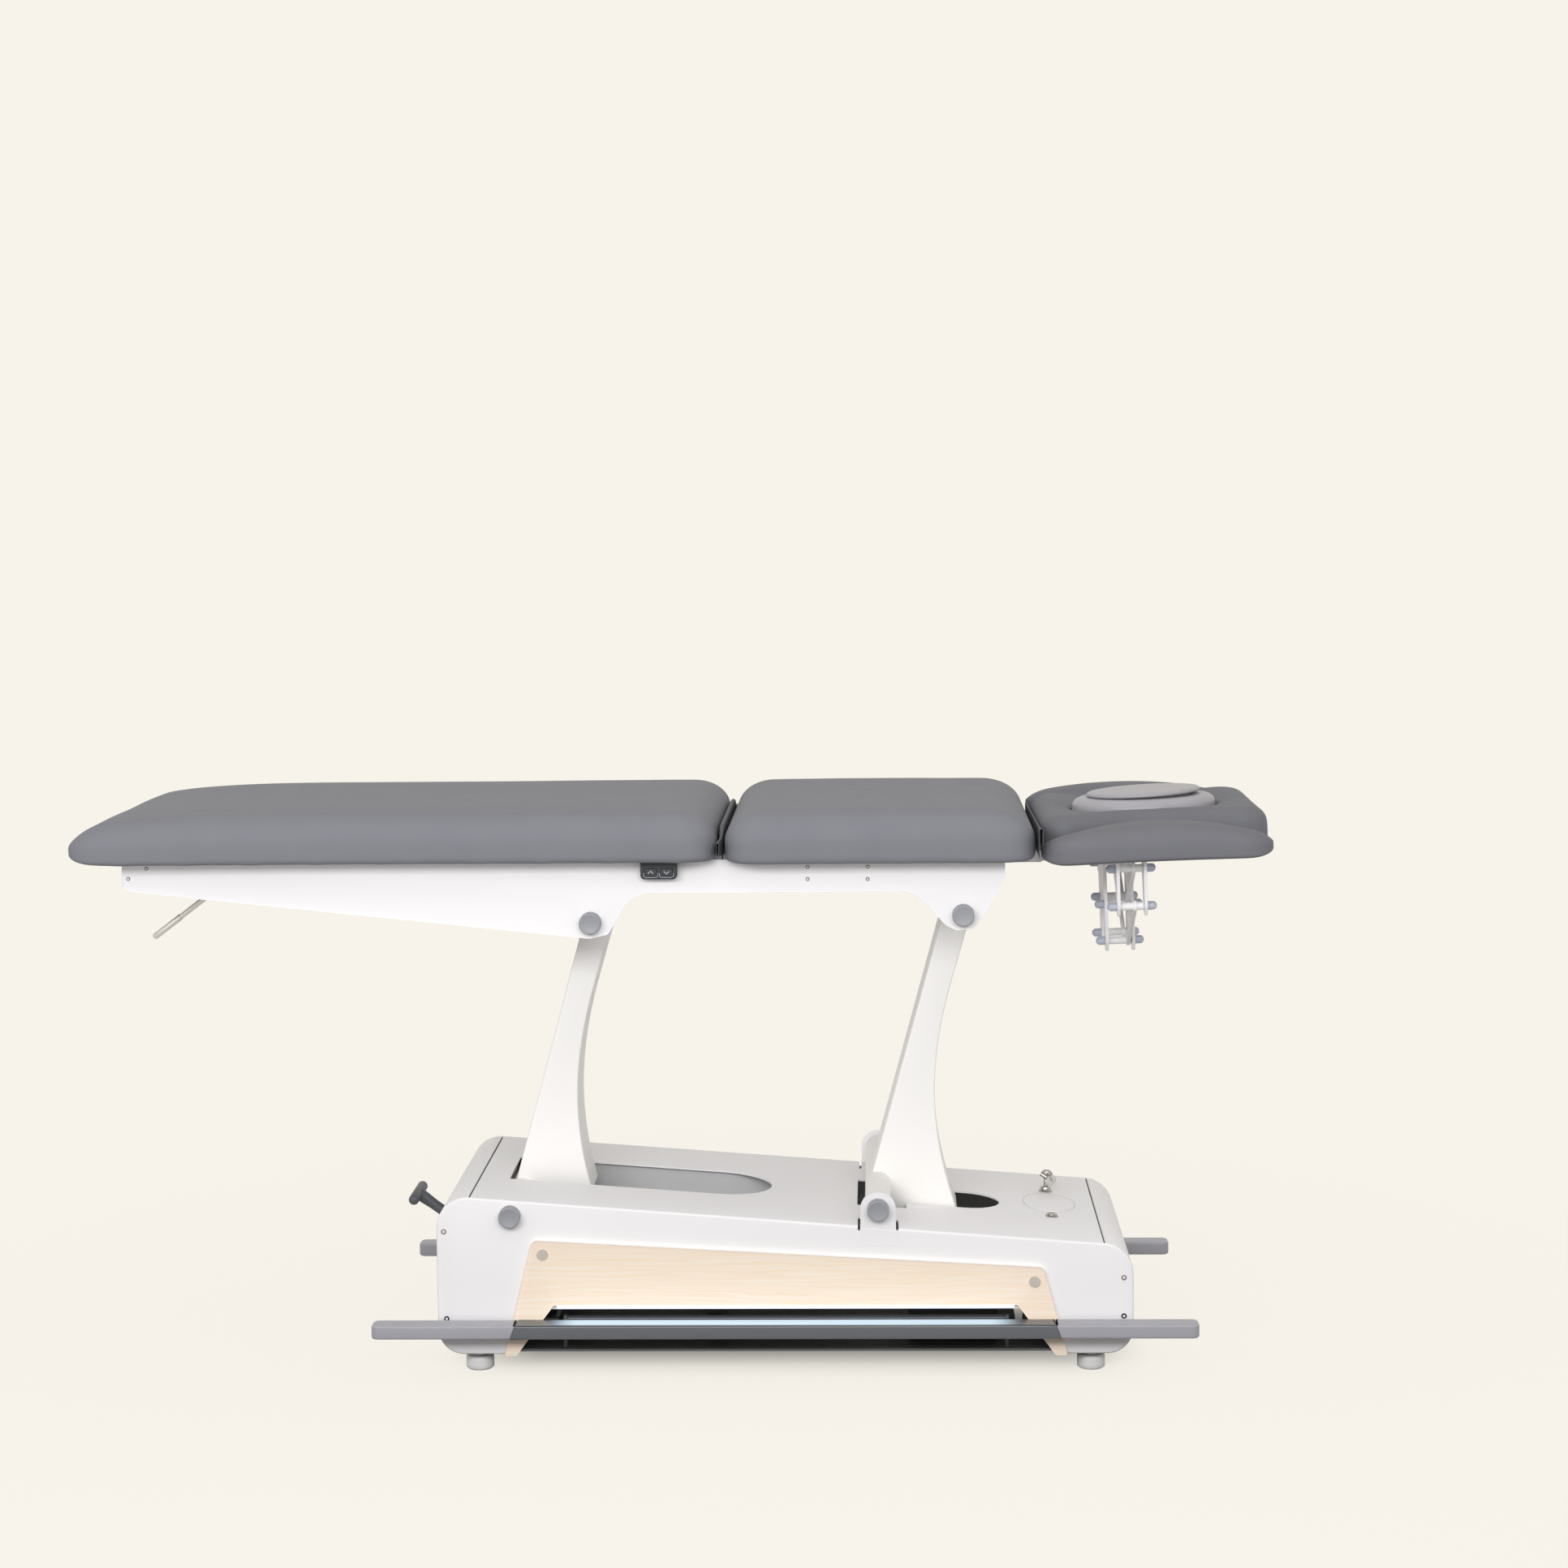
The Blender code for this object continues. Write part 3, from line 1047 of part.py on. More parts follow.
def leg_section(leg):
    """Long section: its pad on a welded ladder frame, hinged at its head end."""
    start = PAD_FOOT_X - LEG_HINGE_X

    def nose(x):
        return 1 - NOSE_THINNING * np.exp(-np.clip(x - start, 0, None) / NOSE_REACH)

    pad = square_pad(start, -LEG_CLEAR, (0.075, 0.03), (ROLL, SIDE_ROLL, ROLL), PAD_BOTTOM - LEG_HINGE_Z, nose)
    solid("leg_pad", pad, leg, vinyl())
    place = np.array((LEG_HINGE_X, 0, LEG_HINGE_Z))
    high = PAD_BOTTOM - SEAT
    low = high - FRAME_TUBE
    foot = FRAME_FOOT_X + 0.05
    bars = []
    for x in (foot, LEVER_PIVOT_X + 0.02, -0.35):
        bars.append(block(*shifted([(x, -0.2, low), (x + FRAME_TUBE, 0.2, high - 0.002)], place)))
    for _, side in SIDES:
        inner = side * LEG_RAIL
        outer = side * (LEG_RAIL + FRAME_TUBE)
        rail = [(foot + 0.004, min(inner, outer), low + 0.0007),
                (LEG_HINGE_X - 0.02, max(inner, outer), high - 0.001)]
        bars.append(block(*shifted(rail, place)))
    for side in (-1, 1):
        inner = side * (0.012 + SEAT)
        outer = side * 0.017
        lug = [(LEVER_PIVOT_X - 0.012, min(inner, outer), LEVER_PIVOT_Z - 0.012),
               (LEVER_PIVOT_X + 0.03, max(inner, outer), high - 0.004)]
        bars.append(block(*shifted(lug, place)))
    bars.append(turned([(-0.0145, 0.004), (0.0145, 0.004)],
                       (LEVER_PIVOT_X - place[0], LEVER_PIVOT_Z - place[2]), "Y", 10))
    beam = HINGE_BEAM + 0.002
    end_bar = shifted([(LEG_HINGE_X - FRAME_TUBE, -beam, low + 0.0014), (LEG_HINGE_X - 0.0012, beam, high)], place)
    solid("leg_frame", block(*end_bar), leg, white_coat(), bars + leg_hinge_leaf(-1, place))


def release_lever(lever):
    """Round release lever at the foot end that unlocks the leg section."""
    slope = radians(LEVER_SLOPE)
    way = np.array((-cos(slope), 0, -sin(slope)))
    eye = turned([(-0.012, 0.009), (0.012, 0.009)], (0, 0), "Y", 16)
    path = [way * 0.004, way * 0.1, way * (LEVER_LENGTH - 0.0105), way * (LEVER_LENGTH - 0.010),
            way * LEVER_LENGTH]
    rod = swept(path, (LEVER_RADIUS, LEVER_RADIUS, LEVER_RADIUS, 0.006, 0.0052))
    solid("release_lever", eye, lever, steel(), [rod],
          [prism(circle(bore(0.004, SMALL_ROUND), SMALL_ROUND), -1, 1, "XZ")])


def rounded_end(x, low, high, low_radius, high_radius):
    """How far a rounded corner at either end of a side draws the side in at x."""
    draw = np.zeros_like(x)
    for gap, radius in ((x - low, low_radius), (high - x, high_radius)):
        inside = np.clip(radius - gap, 0, radius)
        draw = draw + radius - np.sqrt(radius ** 2 - inside ** 2)
    return draw


def seam(share):
    """Half width of the head pad along its length: wide at both ends with a waist between."""
    full = np.where(share < 0.5, HEAD_PAD_HALF, HEAD_PAD_END_HALF)
    return HEAD_PAD_WAIST + (full - HEAD_PAD_WAIST) * (1 + np.cos(2 * pi * share)) / 2


def head_plan():
    """Plan of the head pad: full at both ends and drawn in beside the armrests."""
    share = (1 - np.cos(pi * np.linspace(0, 1, 15))) / 2
    end = HEAD_PAD_START + HEAD_PAD_LENGTH
    x = HEAD_PAD_START + HEAD_PAD_LENGTH * share
    half = seam(share) - rounded_end(x, HEAD_PAD_START, end, 0.065, 0.08)
    near = np.stack([x, -half], 1)
    return subdivided(np.concatenate([near, (near * (1, -1))[::-1]]), 0.08)


def armrest_plan(side):
    """Plan of an armrest: a straight outer edge, and an inner one that follows the head pad."""
    share = (1 - np.cos(pi * np.linspace(0, 1, 13))) / 2
    start = HEAD_PAD_START - 0.002
    end = HEAD_PAD_START + HEAD_PAD_LENGTH - ARMREST_SHORT
    x = start + (end - start) * share
    outer = np.stack([x, ARMREST_OUTER - rounded_end(x, start, end, 0.04, 0.04)], 1)
    inner = np.stack([x, seam(share) + ARMREST_SEAM + rounded_end(x, start, end, 0.022, 0.022)], 1)
    plan = np.concatenate([inner, outer[::-1]])
    return plan if side > 0 else (plan * (1, -1))[::-1]


def armrest_taper(x):
    """Part of an armrest's thickness left at x from its links: full in the middle, thin noses."""
    share = np.clip((x + CENTRE_PLATE_X - HEAD_PAD_START) / (HEAD_PAD_LENGTH - ARMREST_SHORT), 0, 1)
    return ARMREST_NOSE + (1 - ARMREST_NOSE) * np.sin(pi * share) ** 0.8


def link_reach(angle):
    """Offset of an armrest's pins from the centre pins at a link angle."""
    return LINK_LENGTH * cos(radians(angle)), LINK_LENGTH * sin(radians(angle))


def head_section(head):
    """Head pad with its face opening, on a hinged frame that carries the linkage plates."""
    low = HEAD_PAD_LIFT
    face = oval(FACE_HALF_LENGTH, FACE_HALF_WIDTH, (FACE_X, 0))
    plan = head_plan()
    pad = free_pad(plan, np.full(len(plan), 0.027), low, HEAD_PAD_THICKNESS, 0.003)
    solid("head_pad", pad, head, vinyl(), (),
          [prism(face, -1, 1, "XY")])
    top = low - SEAT
    plate_low = top - 0.005
    tray = outline([(0.03, -0.16, 0.01), (0.36, -0.14, 0.03), (0.36, 0.14, 0.03), (0.03, 0.16, 0.01)])
    opening = oval(FACE_HALF_LENGTH - 0.03, FACE_HALF_WIDTH - 0.03, (FACE_X, 0))
    joins = []
    for _, side in SIDES:
        inner = side * HEAD_RAIL
        outer = side * (HEAD_RAIL + 0.015)
        rail = [(0.003, -0.0105), (0.045, -0.0105), (0.075, plate_low + 0.0012),
                (0.034, plate_low + 0.0012), (0.003, 0.0095)]
        joins.append(prism(rail, min(inner, outer), max(inner, outer), "XZ"))
        joins.append(turned([(min(inner, outer), 0.0115), (max(inner, outer), 0.0115)], (0, 0), "Y", 16))
    pins_z = (-LINK_CENTRE_DROP, -LINK_CENTRE_DROP - LINK_SPACING)
    tip = pins_z[1] - 0.018
    half = LINK_CENTRE_Y + 0.02
    cheek = outline([(-half, plate_low + 0.001, 0), (-half, pins_z[1], 0.02), (-LINK_CENTRE_Y - 0.004, tip, 0.006),
                     (-LINK_CENTRE_Y + 0.014, tip, 0.008), (-0.016, -0.075, 0.02), (0.016, -0.075, 0.02),
                     (LINK_CENTRE_Y - 0.014, tip, 0.008), (LINK_CENTRE_Y + 0.004, tip, 0.006),
                     (half, pins_z[1], 0.02), (half, plate_low + 0.001, 0)])
    for x in (CENTRE_PLATE_X - LINK_PLATE, CENTRE_PLATE_X + LINK_PLATE_GAP):
        joins.append(prism(cheek, x, x + LINK_PLATE, "YZ"))
    for side in (-1, 1):
        for z in pins_z:
            joins.append(domed_pin(CENTRE_PLATE_X, (side * LINK_CENTRE_Y, z)))
    solid("head_frame", prism(tray, plate_low, top, "XY"), head, white_coat(), joins,
          [prism(opening, -0.02, 1, "XY"),
           prism(circle(bore(0.006, 16), 16), -0.3, 0.3, "XZ")])


def domed_pin(plate_x, centre):
    """Link pin through a pair of plates, with a domed cap outside each plate."""
    left = plate_x - LINK_PLATE + 0.0005
    right = plate_x + LINK_PLATE_GAP + LINK_PLATE - 0.0005
    nose = DOME_LENGTH - DOME_RADIUS
    dome = [(nose + DOME_RADIUS * sin(turn), DOME_RADIUS * cos(turn)) for turn in np.radians((70, 25))]
    dome += [(0, DOME_RADIUS), (-0.0002, LINK_PIN)]
    profile = [(left - along, radius) for along, radius in dome]
    profile += [(right + along, radius) for along, radius in dome[::-1]]
    return turned(profile, centre, "X", SMALL_ROUND)


def armrest(name, side, angle, head_place):
    """One armrest: two equal links on the head frame, a hanging bracket and its pad."""
    across, rise = link_reach(angle)
    near_across, near_rise = link_reach(NEAR_LINK_ANGLE)
    tilt = -HEAD_TILT
    centre_y = side * LINK_CENTRE_Y
    width = LINK_PLATE_GAP - 2 * SEAT
    bush = bore(LINK_PIN, SMALL_ROUND)
    for label, drop in (("upper", 0.0), ("lower", LINK_SPACING)):
        pivot = frame(f"{name}_{label}_link_axis",
                      head_place((CENTRE_PLATE_X, centre_y, -LINK_CENTRE_DROP - drop)), tilt)
        tip = (side * across, rise)
        start = SEAT
        far_start = BRACKET_SHIFT + SEAT
        plate_x = BRACKET_SHIFT + 0.022
        normal = np.array((-rise, side * across)) / LINK_LENGTH
        unit = np.array((side * across, rise)) / LINK_LENGTH
        band_half = 0.0078
        strip = [unit * 0.004 + normal * band_half, unit * 0.004 - normal * band_half,
                 unit * (LINK_LENGTH - 0.004) - normal * band_half,
                 unit * (LINK_LENGTH - 0.004) + normal * band_half]
        joins = [turned([(start, LINK_BUSH), (start + width, LINK_BUSH)], (0, 0), "X", 16),
                 turned([(far_start, LINK_BUSH), (far_start + width, LINK_BUSH)], tip, "X", 16)]
        cuts = [prism(circle(bush, SMALL_ROUND), -1, 1, "YZ"),
                prism(circle(bush, SMALL_ROUND, tip), -1, 1, "YZ")]
        solid(f"{name}_{label}_link", prism(strip, plate_x, plate_x + 0.006, "YZ"), pivot, white_coat(),
              joins, cuts)
    pin_y = centre_y + side * across
    pin_z = -LINK_CENTRE_DROP + rise
    seat = frame(f"{name}_armrest_axis", head_place((CENTRE_PLATE_X, pin_y, pin_z)), tilt)
    pad_low = HEAD_PAD_LIFT - ARMREST_DROP + LINK_CENTRE_DROP - near_rise
    flange_top = pad_low - SEAT
    hang = -LINK_SPACING - 0.016
    cheek = outline([(-0.026, flange_top - 0.002, 0), (-0.016, -LINK_SPACING, 0.02), (-0.005, hang, 0.006),
                     (0.007, hang, 0.006), (0.016, -LINK_SPACING, 0.02), (0.026, flange_top - 0.002, 0)])
    left = BRACKET_SHIFT - LINK_PLATE
    right = BRACKET_SHIFT + LINK_PLATE_GAP
    joins = [prism(cheek, left, left + LINK_PLATE, "YZ"), prism(cheek, right, right + LINK_PLATE, "YZ")]
    for z in (0.0, -LINK_SPACING):
        joins.append(domed_pin(BRACKET_SHIFT, (0, z)))
    flange = block((left - 0.02, -0.03, flange_top - 0.004), (right + 0.024, 0.03, flange_top))
    solid(f"{name}_armrest_bracket", flange, seat, white_coat(), joins)
    plan = armrest_plan(side) - (CENTRE_PLATE_X, side * (LINK_CENTRE_Y + near_across))
    rolls = 0.026 * armrest_taper(plan[:, 0])
    pad = free_pad(plan, rolls, pad_low, ARMREST_THICKNESS, 0.004, armrest_taper)
    solid(f"{name}_armrest_pad", pad, seat, vinyl())


def face_insert(head, lid_holder):
    """Moulded oval insert in the face opening and the loose lid that closes it."""
    low = HEAD_PAD_LIFT
    crest = HEAD_PAD_LIFT + HEAD_PAD_THICKNESS + RING_RISE
    outer_u = FACE_HALF_LENGTH - SEAT * 2
    outer_v = FACE_HALF_WIDTH - SEAT * 2
    inner_u = LID_HALF_LENGTH - 0.012
    inner_v = LID_HALF_WIDTH - 0.012
    centre = (FACE_X, 0)
    steps = [(low, 0.0), (crest - 0.022, 0.0), (crest - 0.012, 0.003), (crest - 0.004, 0.009), (crest, 0.020)]
    rings = [lift(oval(outer_u - inset, outer_v - inset, centre), z, "XY") for z, inset in steps]
    rings += [lift(oval(inner_u, inner_v, centre), z, "XY") for z in (crest - 0.001, low)]
    solid("face_insert", loft(rings, closed=True), head, grey_plastic())
    tilt = radians(LID_TILT)
    base = (LID_HALF_LENGTH - 0.002) * sin(tilt) + SEAT
    rise = LID_THICKNESS
    lid_steps = [(-0.009, inner_u - 0.006, inner_v - 0.006), (0, inner_u - 0.004, inner_v - 0.004),
                 (0, LID_HALF_LENGTH - 0.002, LID_HALF_WIDTH - 0.002),
                 (rise * 0.35, LID_HALF_LENGTH, LID_HALF_WIDTH),
                 (rise * 0.8, LID_HALF_LENGTH - 0.0015, LID_HALF_WIDTH - 0.0015),
                 (rise, LID_HALF_LENGTH - 0.006, LID_HALF_WIDTH - 0.006)]
    rings = []
    for z, u, v in lid_steps:
        ring = lift(oval(u, v), z, "XY")
        turned_x = ring[:, 0] * cos(tilt) - ring[:, 2] * sin(tilt)
        ring[:, 2] = ring[:, 0] * sin(tilt) + ring[:, 2] * cos(tilt) + base
        ring[:, 0] = turned_x
        rings.append(ring)
    solid("face_lid", loft(rings), lid_holder, grey_plastic())
    return crest


def hand_switch(top):
    """Switch box on the near side plate with its up and down buttons."""
    place = np.array((FOOT_TOP_X, 0, FOOT_TOP_Z))
    back = -(FRAME_OUT + SEAT)
    front = back - SWITCH_DEPTH
    high = PAD_BOTTOM - 0.004
    low = high - SWITCH_HEIGHT
    half = SWITCH_WIDTH / 2
    shape = outline([(SWITCH_X - half, low, 0.007), (SWITCH_X + half, low, 0.007),
                     (SWITCH_X + half, high, 0.002), (SWITCH_X - half, high, 0.002)]) - (place[0], place[2])
    centres = [(SWITCH_X - 0.0135, low + 0.012), (SWITCH_X + 0.0135, low + 0.012)]
    wells = []
    deep = BUTTON_TRAVEL + 0.004
    for x, z in centres:
        wells.append(block(*shifted([(x - BUTTON_WIDTH / 2 - RUN, front - 0.01, z - BUTTON_HEIGHT / 2 - RUN),
                                     (x + BUTTON_WIDTH / 2 + RUN, front + deep, z + BUTTON_HEIGHT / 2 + RUN)],
                                    place)))
    solid("hand_switch", prism(shape, front, back, "XZ"), top, dark_plastic(), (), wells)
    for label, (x, z) in zip(("up", "down"), centres):
        guide = frame(f"{label}_button_axis", (x, front, z))
        key = block((-BUTTON_WIDTH / 2, -BUTTON_RISE, -BUTTON_HEIGHT / 2),
                    (BUTTON_WIDTH / 2, deep - BUTTON_TRAVEL - SEAT, BUTTON_HEIGHT / 2))
        solid(f"{label}_button", key, guide, dark_plastic())


def build():
    for old in list(bpy.data.objects):
        bpy.data.objects.remove(old)
    base = frame("base", (0, 0, 0))
    base_housing(base)
    end_covers(base)
    chassis(base)
    arm_trough(base)
    wood_panels(base)
    feet(base)
    pivot_pin("foot_arm_lower_pin", base, FOOT_PIVOT_X, FOOT_PIVOT_Z, SIDE_OUT)
    pivot_pin("head_arm_lower_pin", base, HEAD_PIVOT_X, HEAD_PIVOT_Z, SIDE_OUT)
    lift_drive(base)
    electrics(base)
    key_lock(base)
    foot_bars()
    castor_lift()
    arms(frame("foot_arm_axis", (FOOT_PIVOT_X, 0, FOOT_PIVOT_Z), ARM_LEAN),
         frame("head_arm_axis", (HEAD_PIVOT_X, 0, HEAD_PIVOT_Z), ARM_LEAN))
    top = frame("top_frame_axis", (FOOT_TOP_X, 0, FOOT_TOP_Z))
    side_plates(top)
    top_frames(top)
    pivot_pin("foot_arm_upper_pin", top, 0, 0, FRAME_OUT)
    pivot_pin("head_arm_upper_pin", top, HEAD_TOP_X - FOOT_TOP_X, HEAD_TOP_Z - FOOT_TOP_Z, FRAME_OUT)
    fixed_pad(top)
    hand_switch(top)
    leg_section(frame("leg_hinge_axis", (LEG_HINGE_X, 0, LEG_HINGE_Z)))
    release_lever(frame("release_lever_axis", (LEVER_PIVOT_X, 0, LEVER_PIVOT_Z)))
    head_turn = Matrix.Translation((HEAD_HINGE_X, 0, HEAD_HINGE_Z)) @ Matrix.Rotation(
        radians(-HEAD_TILT), 4, "Y")

    def head_place(point):
        moved = head_turn @ Matrix.Translation(point)
        return moved.translation

    head = frame("head_hinge_axis", (HEAD_HINGE_X, 0, HEAD_HINGE_Z), -HEAD_TILT)
    head_section(head)
    crest = HEAD_PAD_LIFT + HEAD_PAD_THICKNESS + RING_RISE
    lid = frame("face_lid_seat", head_place((FACE_X, 0, crest)), -HEAD_TILT)
    face_insert(head, lid)
    armrest("near", -1, NEAR_LINK_ANGLE, head_place)
    armrest("far", 1, FAR_LINK_ANGLE, head_place)


build()
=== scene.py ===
"""Looks of the electric physiotherapy table: finishes, upholstery and fine trim round the CAD frame."""

from math import cos, pi, radians, sin

import bmesh
import bpy
import numpy as np
from mathutils import Matrix, Vector


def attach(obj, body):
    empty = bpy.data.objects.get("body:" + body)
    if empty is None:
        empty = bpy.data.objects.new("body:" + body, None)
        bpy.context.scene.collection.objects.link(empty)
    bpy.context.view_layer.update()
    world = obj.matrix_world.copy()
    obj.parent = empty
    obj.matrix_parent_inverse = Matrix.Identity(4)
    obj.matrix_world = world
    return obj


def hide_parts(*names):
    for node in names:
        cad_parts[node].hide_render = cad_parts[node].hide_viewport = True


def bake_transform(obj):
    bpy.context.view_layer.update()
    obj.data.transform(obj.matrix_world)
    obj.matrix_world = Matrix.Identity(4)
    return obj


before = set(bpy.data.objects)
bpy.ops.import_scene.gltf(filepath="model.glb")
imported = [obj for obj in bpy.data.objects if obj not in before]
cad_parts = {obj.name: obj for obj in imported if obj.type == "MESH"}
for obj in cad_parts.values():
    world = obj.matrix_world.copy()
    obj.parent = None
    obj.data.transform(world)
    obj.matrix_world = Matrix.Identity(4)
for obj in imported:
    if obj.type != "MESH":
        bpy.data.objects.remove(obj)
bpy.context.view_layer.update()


# Camera: a long lens 5.6 m off the near side at head height, turned a little towards the foot end
# and tipped down a little. Its place was worked out from edges of the base, plates and pads.
photo_width, focal_pixels = 1932, 3924.59
lens = bpy.data.cameras.new("camera")
lens.sensor_width = 36
lens.lens = lens.sensor_width * focal_pixels / photo_width
lens.clip_end = 60
yaw, pitch, roll = np.radians((-1.718, 5.655, 0.551))
ahead = np.array((sin(yaw) * cos(pitch), cos(yaw) * cos(pitch), -sin(pitch)))
level = np.array((cos(yaw), -sin(yaw), 0))
below = np.cross(ahead, level)
right = cos(roll) * level + sin(roll) * below
under = cos(roll) * below - sin(roll) * level
camera = bpy.data.objects.new("camera", lens)
bpy.context.scene.collection.objects.link(camera)
turned = np.eye(4)
turned[:3, :3] = np.stack([right, -under, -ahead], 1)
turned[:3, 3] = (0.3555, -5.6313, 1.5590)
camera.matrix_world = Matrix(turned.tolist())
bpy.context.scene.camera = camera
bpy.context.scene.view_settings.view_transform = "Standard"


# Studio: a pale floor that keeps a soft shadow and fades into the cream backdrop, which is seen but
# gives no light. Under the base a shadow is also painted into the floor's colour and its glow. An even
# pale sky lights all sides, with a broad, faint softbox overhead and a stronger, cooler one in front.
backdrop = (0.93, 0.896, 0.823)


class Tone:
    """One socket of a node tree. Operators on it add Math nodes, and node() adds any other node."""

    def __init__(self, tree, socket):
        self.tree = tree
        self.socket = socket

    def node(self, kind, settings, sockets, output=0):
        """A new node: its settings first, then values or links for its sockets."""
        made = self.tree.nodes.new(kind)
        for key, value in settings.items():
            setattr(made, key, value)
        for key, value in sockets.items():
            if isinstance(value, Tone):
                self.tree.links.new(value.socket, made.inputs[key])
            else:
                made.inputs[key].default_value = value
        return Tone(self.tree, made.outputs[output])

    def math(self, operation, first, second=0.0):
        return self.node("ShaderNodeMath", {"operation": operation}, {0: first, 1: second})

    def __add__(self, other):
        return self.math("ADD", self, other)

    def __mul__(self, other):
        return self.math("MULTIPLY", self, other)

    def __sub__(self, other):
        return self.math("SUBTRACT", self, other)

    def __rsub__(self, other):
        return self.math("SUBTRACT", other, self)

    __radd__ = __add__
    __rmul__ = __mul__

    def band(self, low, high):
        """0 below low, 1 above high, smooth between."""
        return self.node("ShaderNodeMapRange", {"interpolation_type": "SMOOTHSTEP"},
                         {"Value": self, "From Min": low, "From Max": high})

    def window(self, rise, fall):
        """1 between two soft edges, 0 outside: up over the first band and down over the second."""
        return self.band(*rise) * (1 - self.band(*fall))

    def tint(self, first, second):
        """A colour from first to second as this value goes from 0 to 1."""
        pair = {6: first if isinstance(first, Tone) else (*first, 1),
                7: second if isinstance(second, Tone) else (*second, 1)}
        return self.node("ShaderNodeMix", {"data_type": "RGBA"}, {0: self, **pair}, 2)

    def scaled(self, scale):
        """These coordinates stretched by a factor along each axis."""
        return self.node("ShaderNodeMapping", {}, {"Vector": self, "Scale": scale})

    def noise(self, scale, detail=3.0, rough=0.5):
        """Cloudy noise at these coordinates, with lumps of about 1 / scale metres."""
        return self.node("ShaderNodeTexNoise", {},
                         {"Vector": self, "Scale": scale, "Detail": detail, "Roughness": rough})

    def bumped(self, distance, strength=1.0):
        """The surface normal with this height, in metres when multiplied by distance."""
        return self.node("ShaderNodeBump", {},
                         {"Height": self, "Distance": distance, "Strength": strength})

    def axis(self, name):
        """One axis of these coordinates."""
        return self.node("ShaderNodeSeparateXYZ", {}, {"Vector": self}, "XYZ".index(name))

    def looked_at(self):
        """1 for rays from the camera, also by way of gloss or glass, and 0 for light."""
        rays = self.node("ShaderNodeLightPath", {}, {}).socket.node.outputs
        kinds = ("Is Camera Ray", "Is Glossy Ray", "Is Transmission Ray")
        return sum(Tone(self.tree, rays[kind]) for kind in kinds)


def blank(name):
    """A new material, its Principled shader and a Tone on the piece's Object coordinates."""
    material = bpy.data.materials.new(name)
    material.use_nodes = True
    tree = material.node_tree
    place = Tone(tree, tree.nodes.new("ShaderNodeTexCoord").outputs["Object"])
    return material, tree.nodes["Principled BSDF"], place


def feed(shader, **sockets):
    """Numbers go on the shader's own sockets, and Tones are linked to them."""
    for key, value in sockets.items():
        socket = shader.inputs[key.replace("_", " ").replace("IOR level", "IOR Level")]
        if isinstance(value, Tone):
            value.tree.links.new(value.socket, socket)
        else:
            socket.default_value = value


def link(name, points, faces, material, smooth=30):
    """An object at the origin from points and faces: doubles merged, faces turned outwards."""
    mesh = bpy.data.meshes.new(name)
    mesh.from_pydata(np.asarray(points, float).reshape(-1, 3).tolist(), [], faces)
    shell = bmesh.new()
    shell.from_mesh(mesh)
    bmesh.ops.remove_doubles(shell, verts=shell.verts, dist=2e-6)
    bmesh.ops.dissolve_degenerate(shell, edges=shell.edges, dist=2e-6)
    bmesh.ops.recalc_face_normals(shell, faces=shell.faces)
    shell.to_mesh(mesh)
    shell.free()
    mesh.shade_smooth()
    mesh.set_sharp_from_angle(angle=radians(smooth))
    if material:
        mesh.materials.append(material)
    piece = bpy.data.objects.new(name, mesh)
    bpy.context.scene.collection.objects.link(piece)
    return piece


def circle(count):
    """Even angles once round."""
    return np.linspace(0, 2 * pi, count + 1)[:-1]


def grid_faces(rows, columns, round_rows=False, round_columns=False):
    """Quads of a grid of rows x columns points, closed in either direction where it is round."""
    row = np.arange(rows - (not round_rows))[:, None]
    column = np.arange(columns - (not round_columns))[None, :]
    next_row, next_column = (row + 1) % rows, (column + 1) % columns
    quads = np.stack([row * columns + column, row * columns + next_column,
                      next_row * columns + next_column, next_row * columns + column], -1)
    return quads.reshape(-1, 4).tolist()


floor_paint, shader, place = blank("studio_floor")
floor_middle, floor_reach = (0.15, -0.1, -0.0005), np.array((0.4, 1.4, 3.2))
# Painted shadow under the base: the floor's colour darkens there and its backdrop glow is turned down.
painted_shadow_under_base = (place.axis("X").window((-0.44, -0.24), (0.66, 0.84))
           * place.axis("Y").window((-0.29, -0.02), (0.10, 0.32)))
feed(shader, Base_Color=painted_shadow_under_base.tint((0.95, 0.92, 0.86), (0.40, 0.385, 0.36)), Roughness=0.9,
     Specular_IOR_level=0.0)
off_centre = place.node("ShaderNodeVectorMath", {"operation": "DISTANCE"},
                        {0: place, 1: (*floor_middle[:2], 0)}, 1)
fade = off_centre.band(1.1, 2.3)
clear = fade.node("ShaderNodeBsdfTransparent", {}, {})
glow = fade.node("ShaderNodeEmission", {}, {"Color": (*backdrop, 1), "Strength": fade.looked_at()})
lit = fade.node("ShaderNodeMixShader", {},
                {0: 0.92 - 0.76 * painted_shadow_under_base, 1: Tone(fade.tree, shader.outputs[0]), 2: glow})
mixed = fade.node("ShaderNodeMixShader", {}, {0: fade, 1: lit, 2: clear})
fade.tree.links.new(mixed.socket, fade.tree.nodes["Material Output"].inputs["Surface"])
ring = circle(96)
disc = np.stack([np.outer(floor_reach, np.cos(ring)), np.outer(floor_reach, np.sin(ring)),
                 np.zeros((3, 96))], -1) + floor_middle
floor = link("studio_floor", disc, grid_faces(3, 96, False, True) + [list(range(96))], floor_paint)

world = bpy.data.worlds.new("studio")
bpy.context.scene.world = world
world.use_nodes = True
sky = Tone(world.node_tree, world.node_tree.nodes["Background"].outputs[0])
sky.socket.node.inputs["Color"].default_value = (1.0, 0.99, 0.985, 1)
sky.socket.node.inputs["Strength"].default_value = 0.70
seen = sky.node("ShaderNodeBackground", {}, {"Color": (*backdrop, 1), "Strength": 1.0})
both = sky.node("ShaderNodeMixShader", {}, {0: sky.looked_at(), 1: sky, 2: seen})
sky.tree.links.new(both.socket, sky.tree.nodes["World Output"].inputs["Surface"])

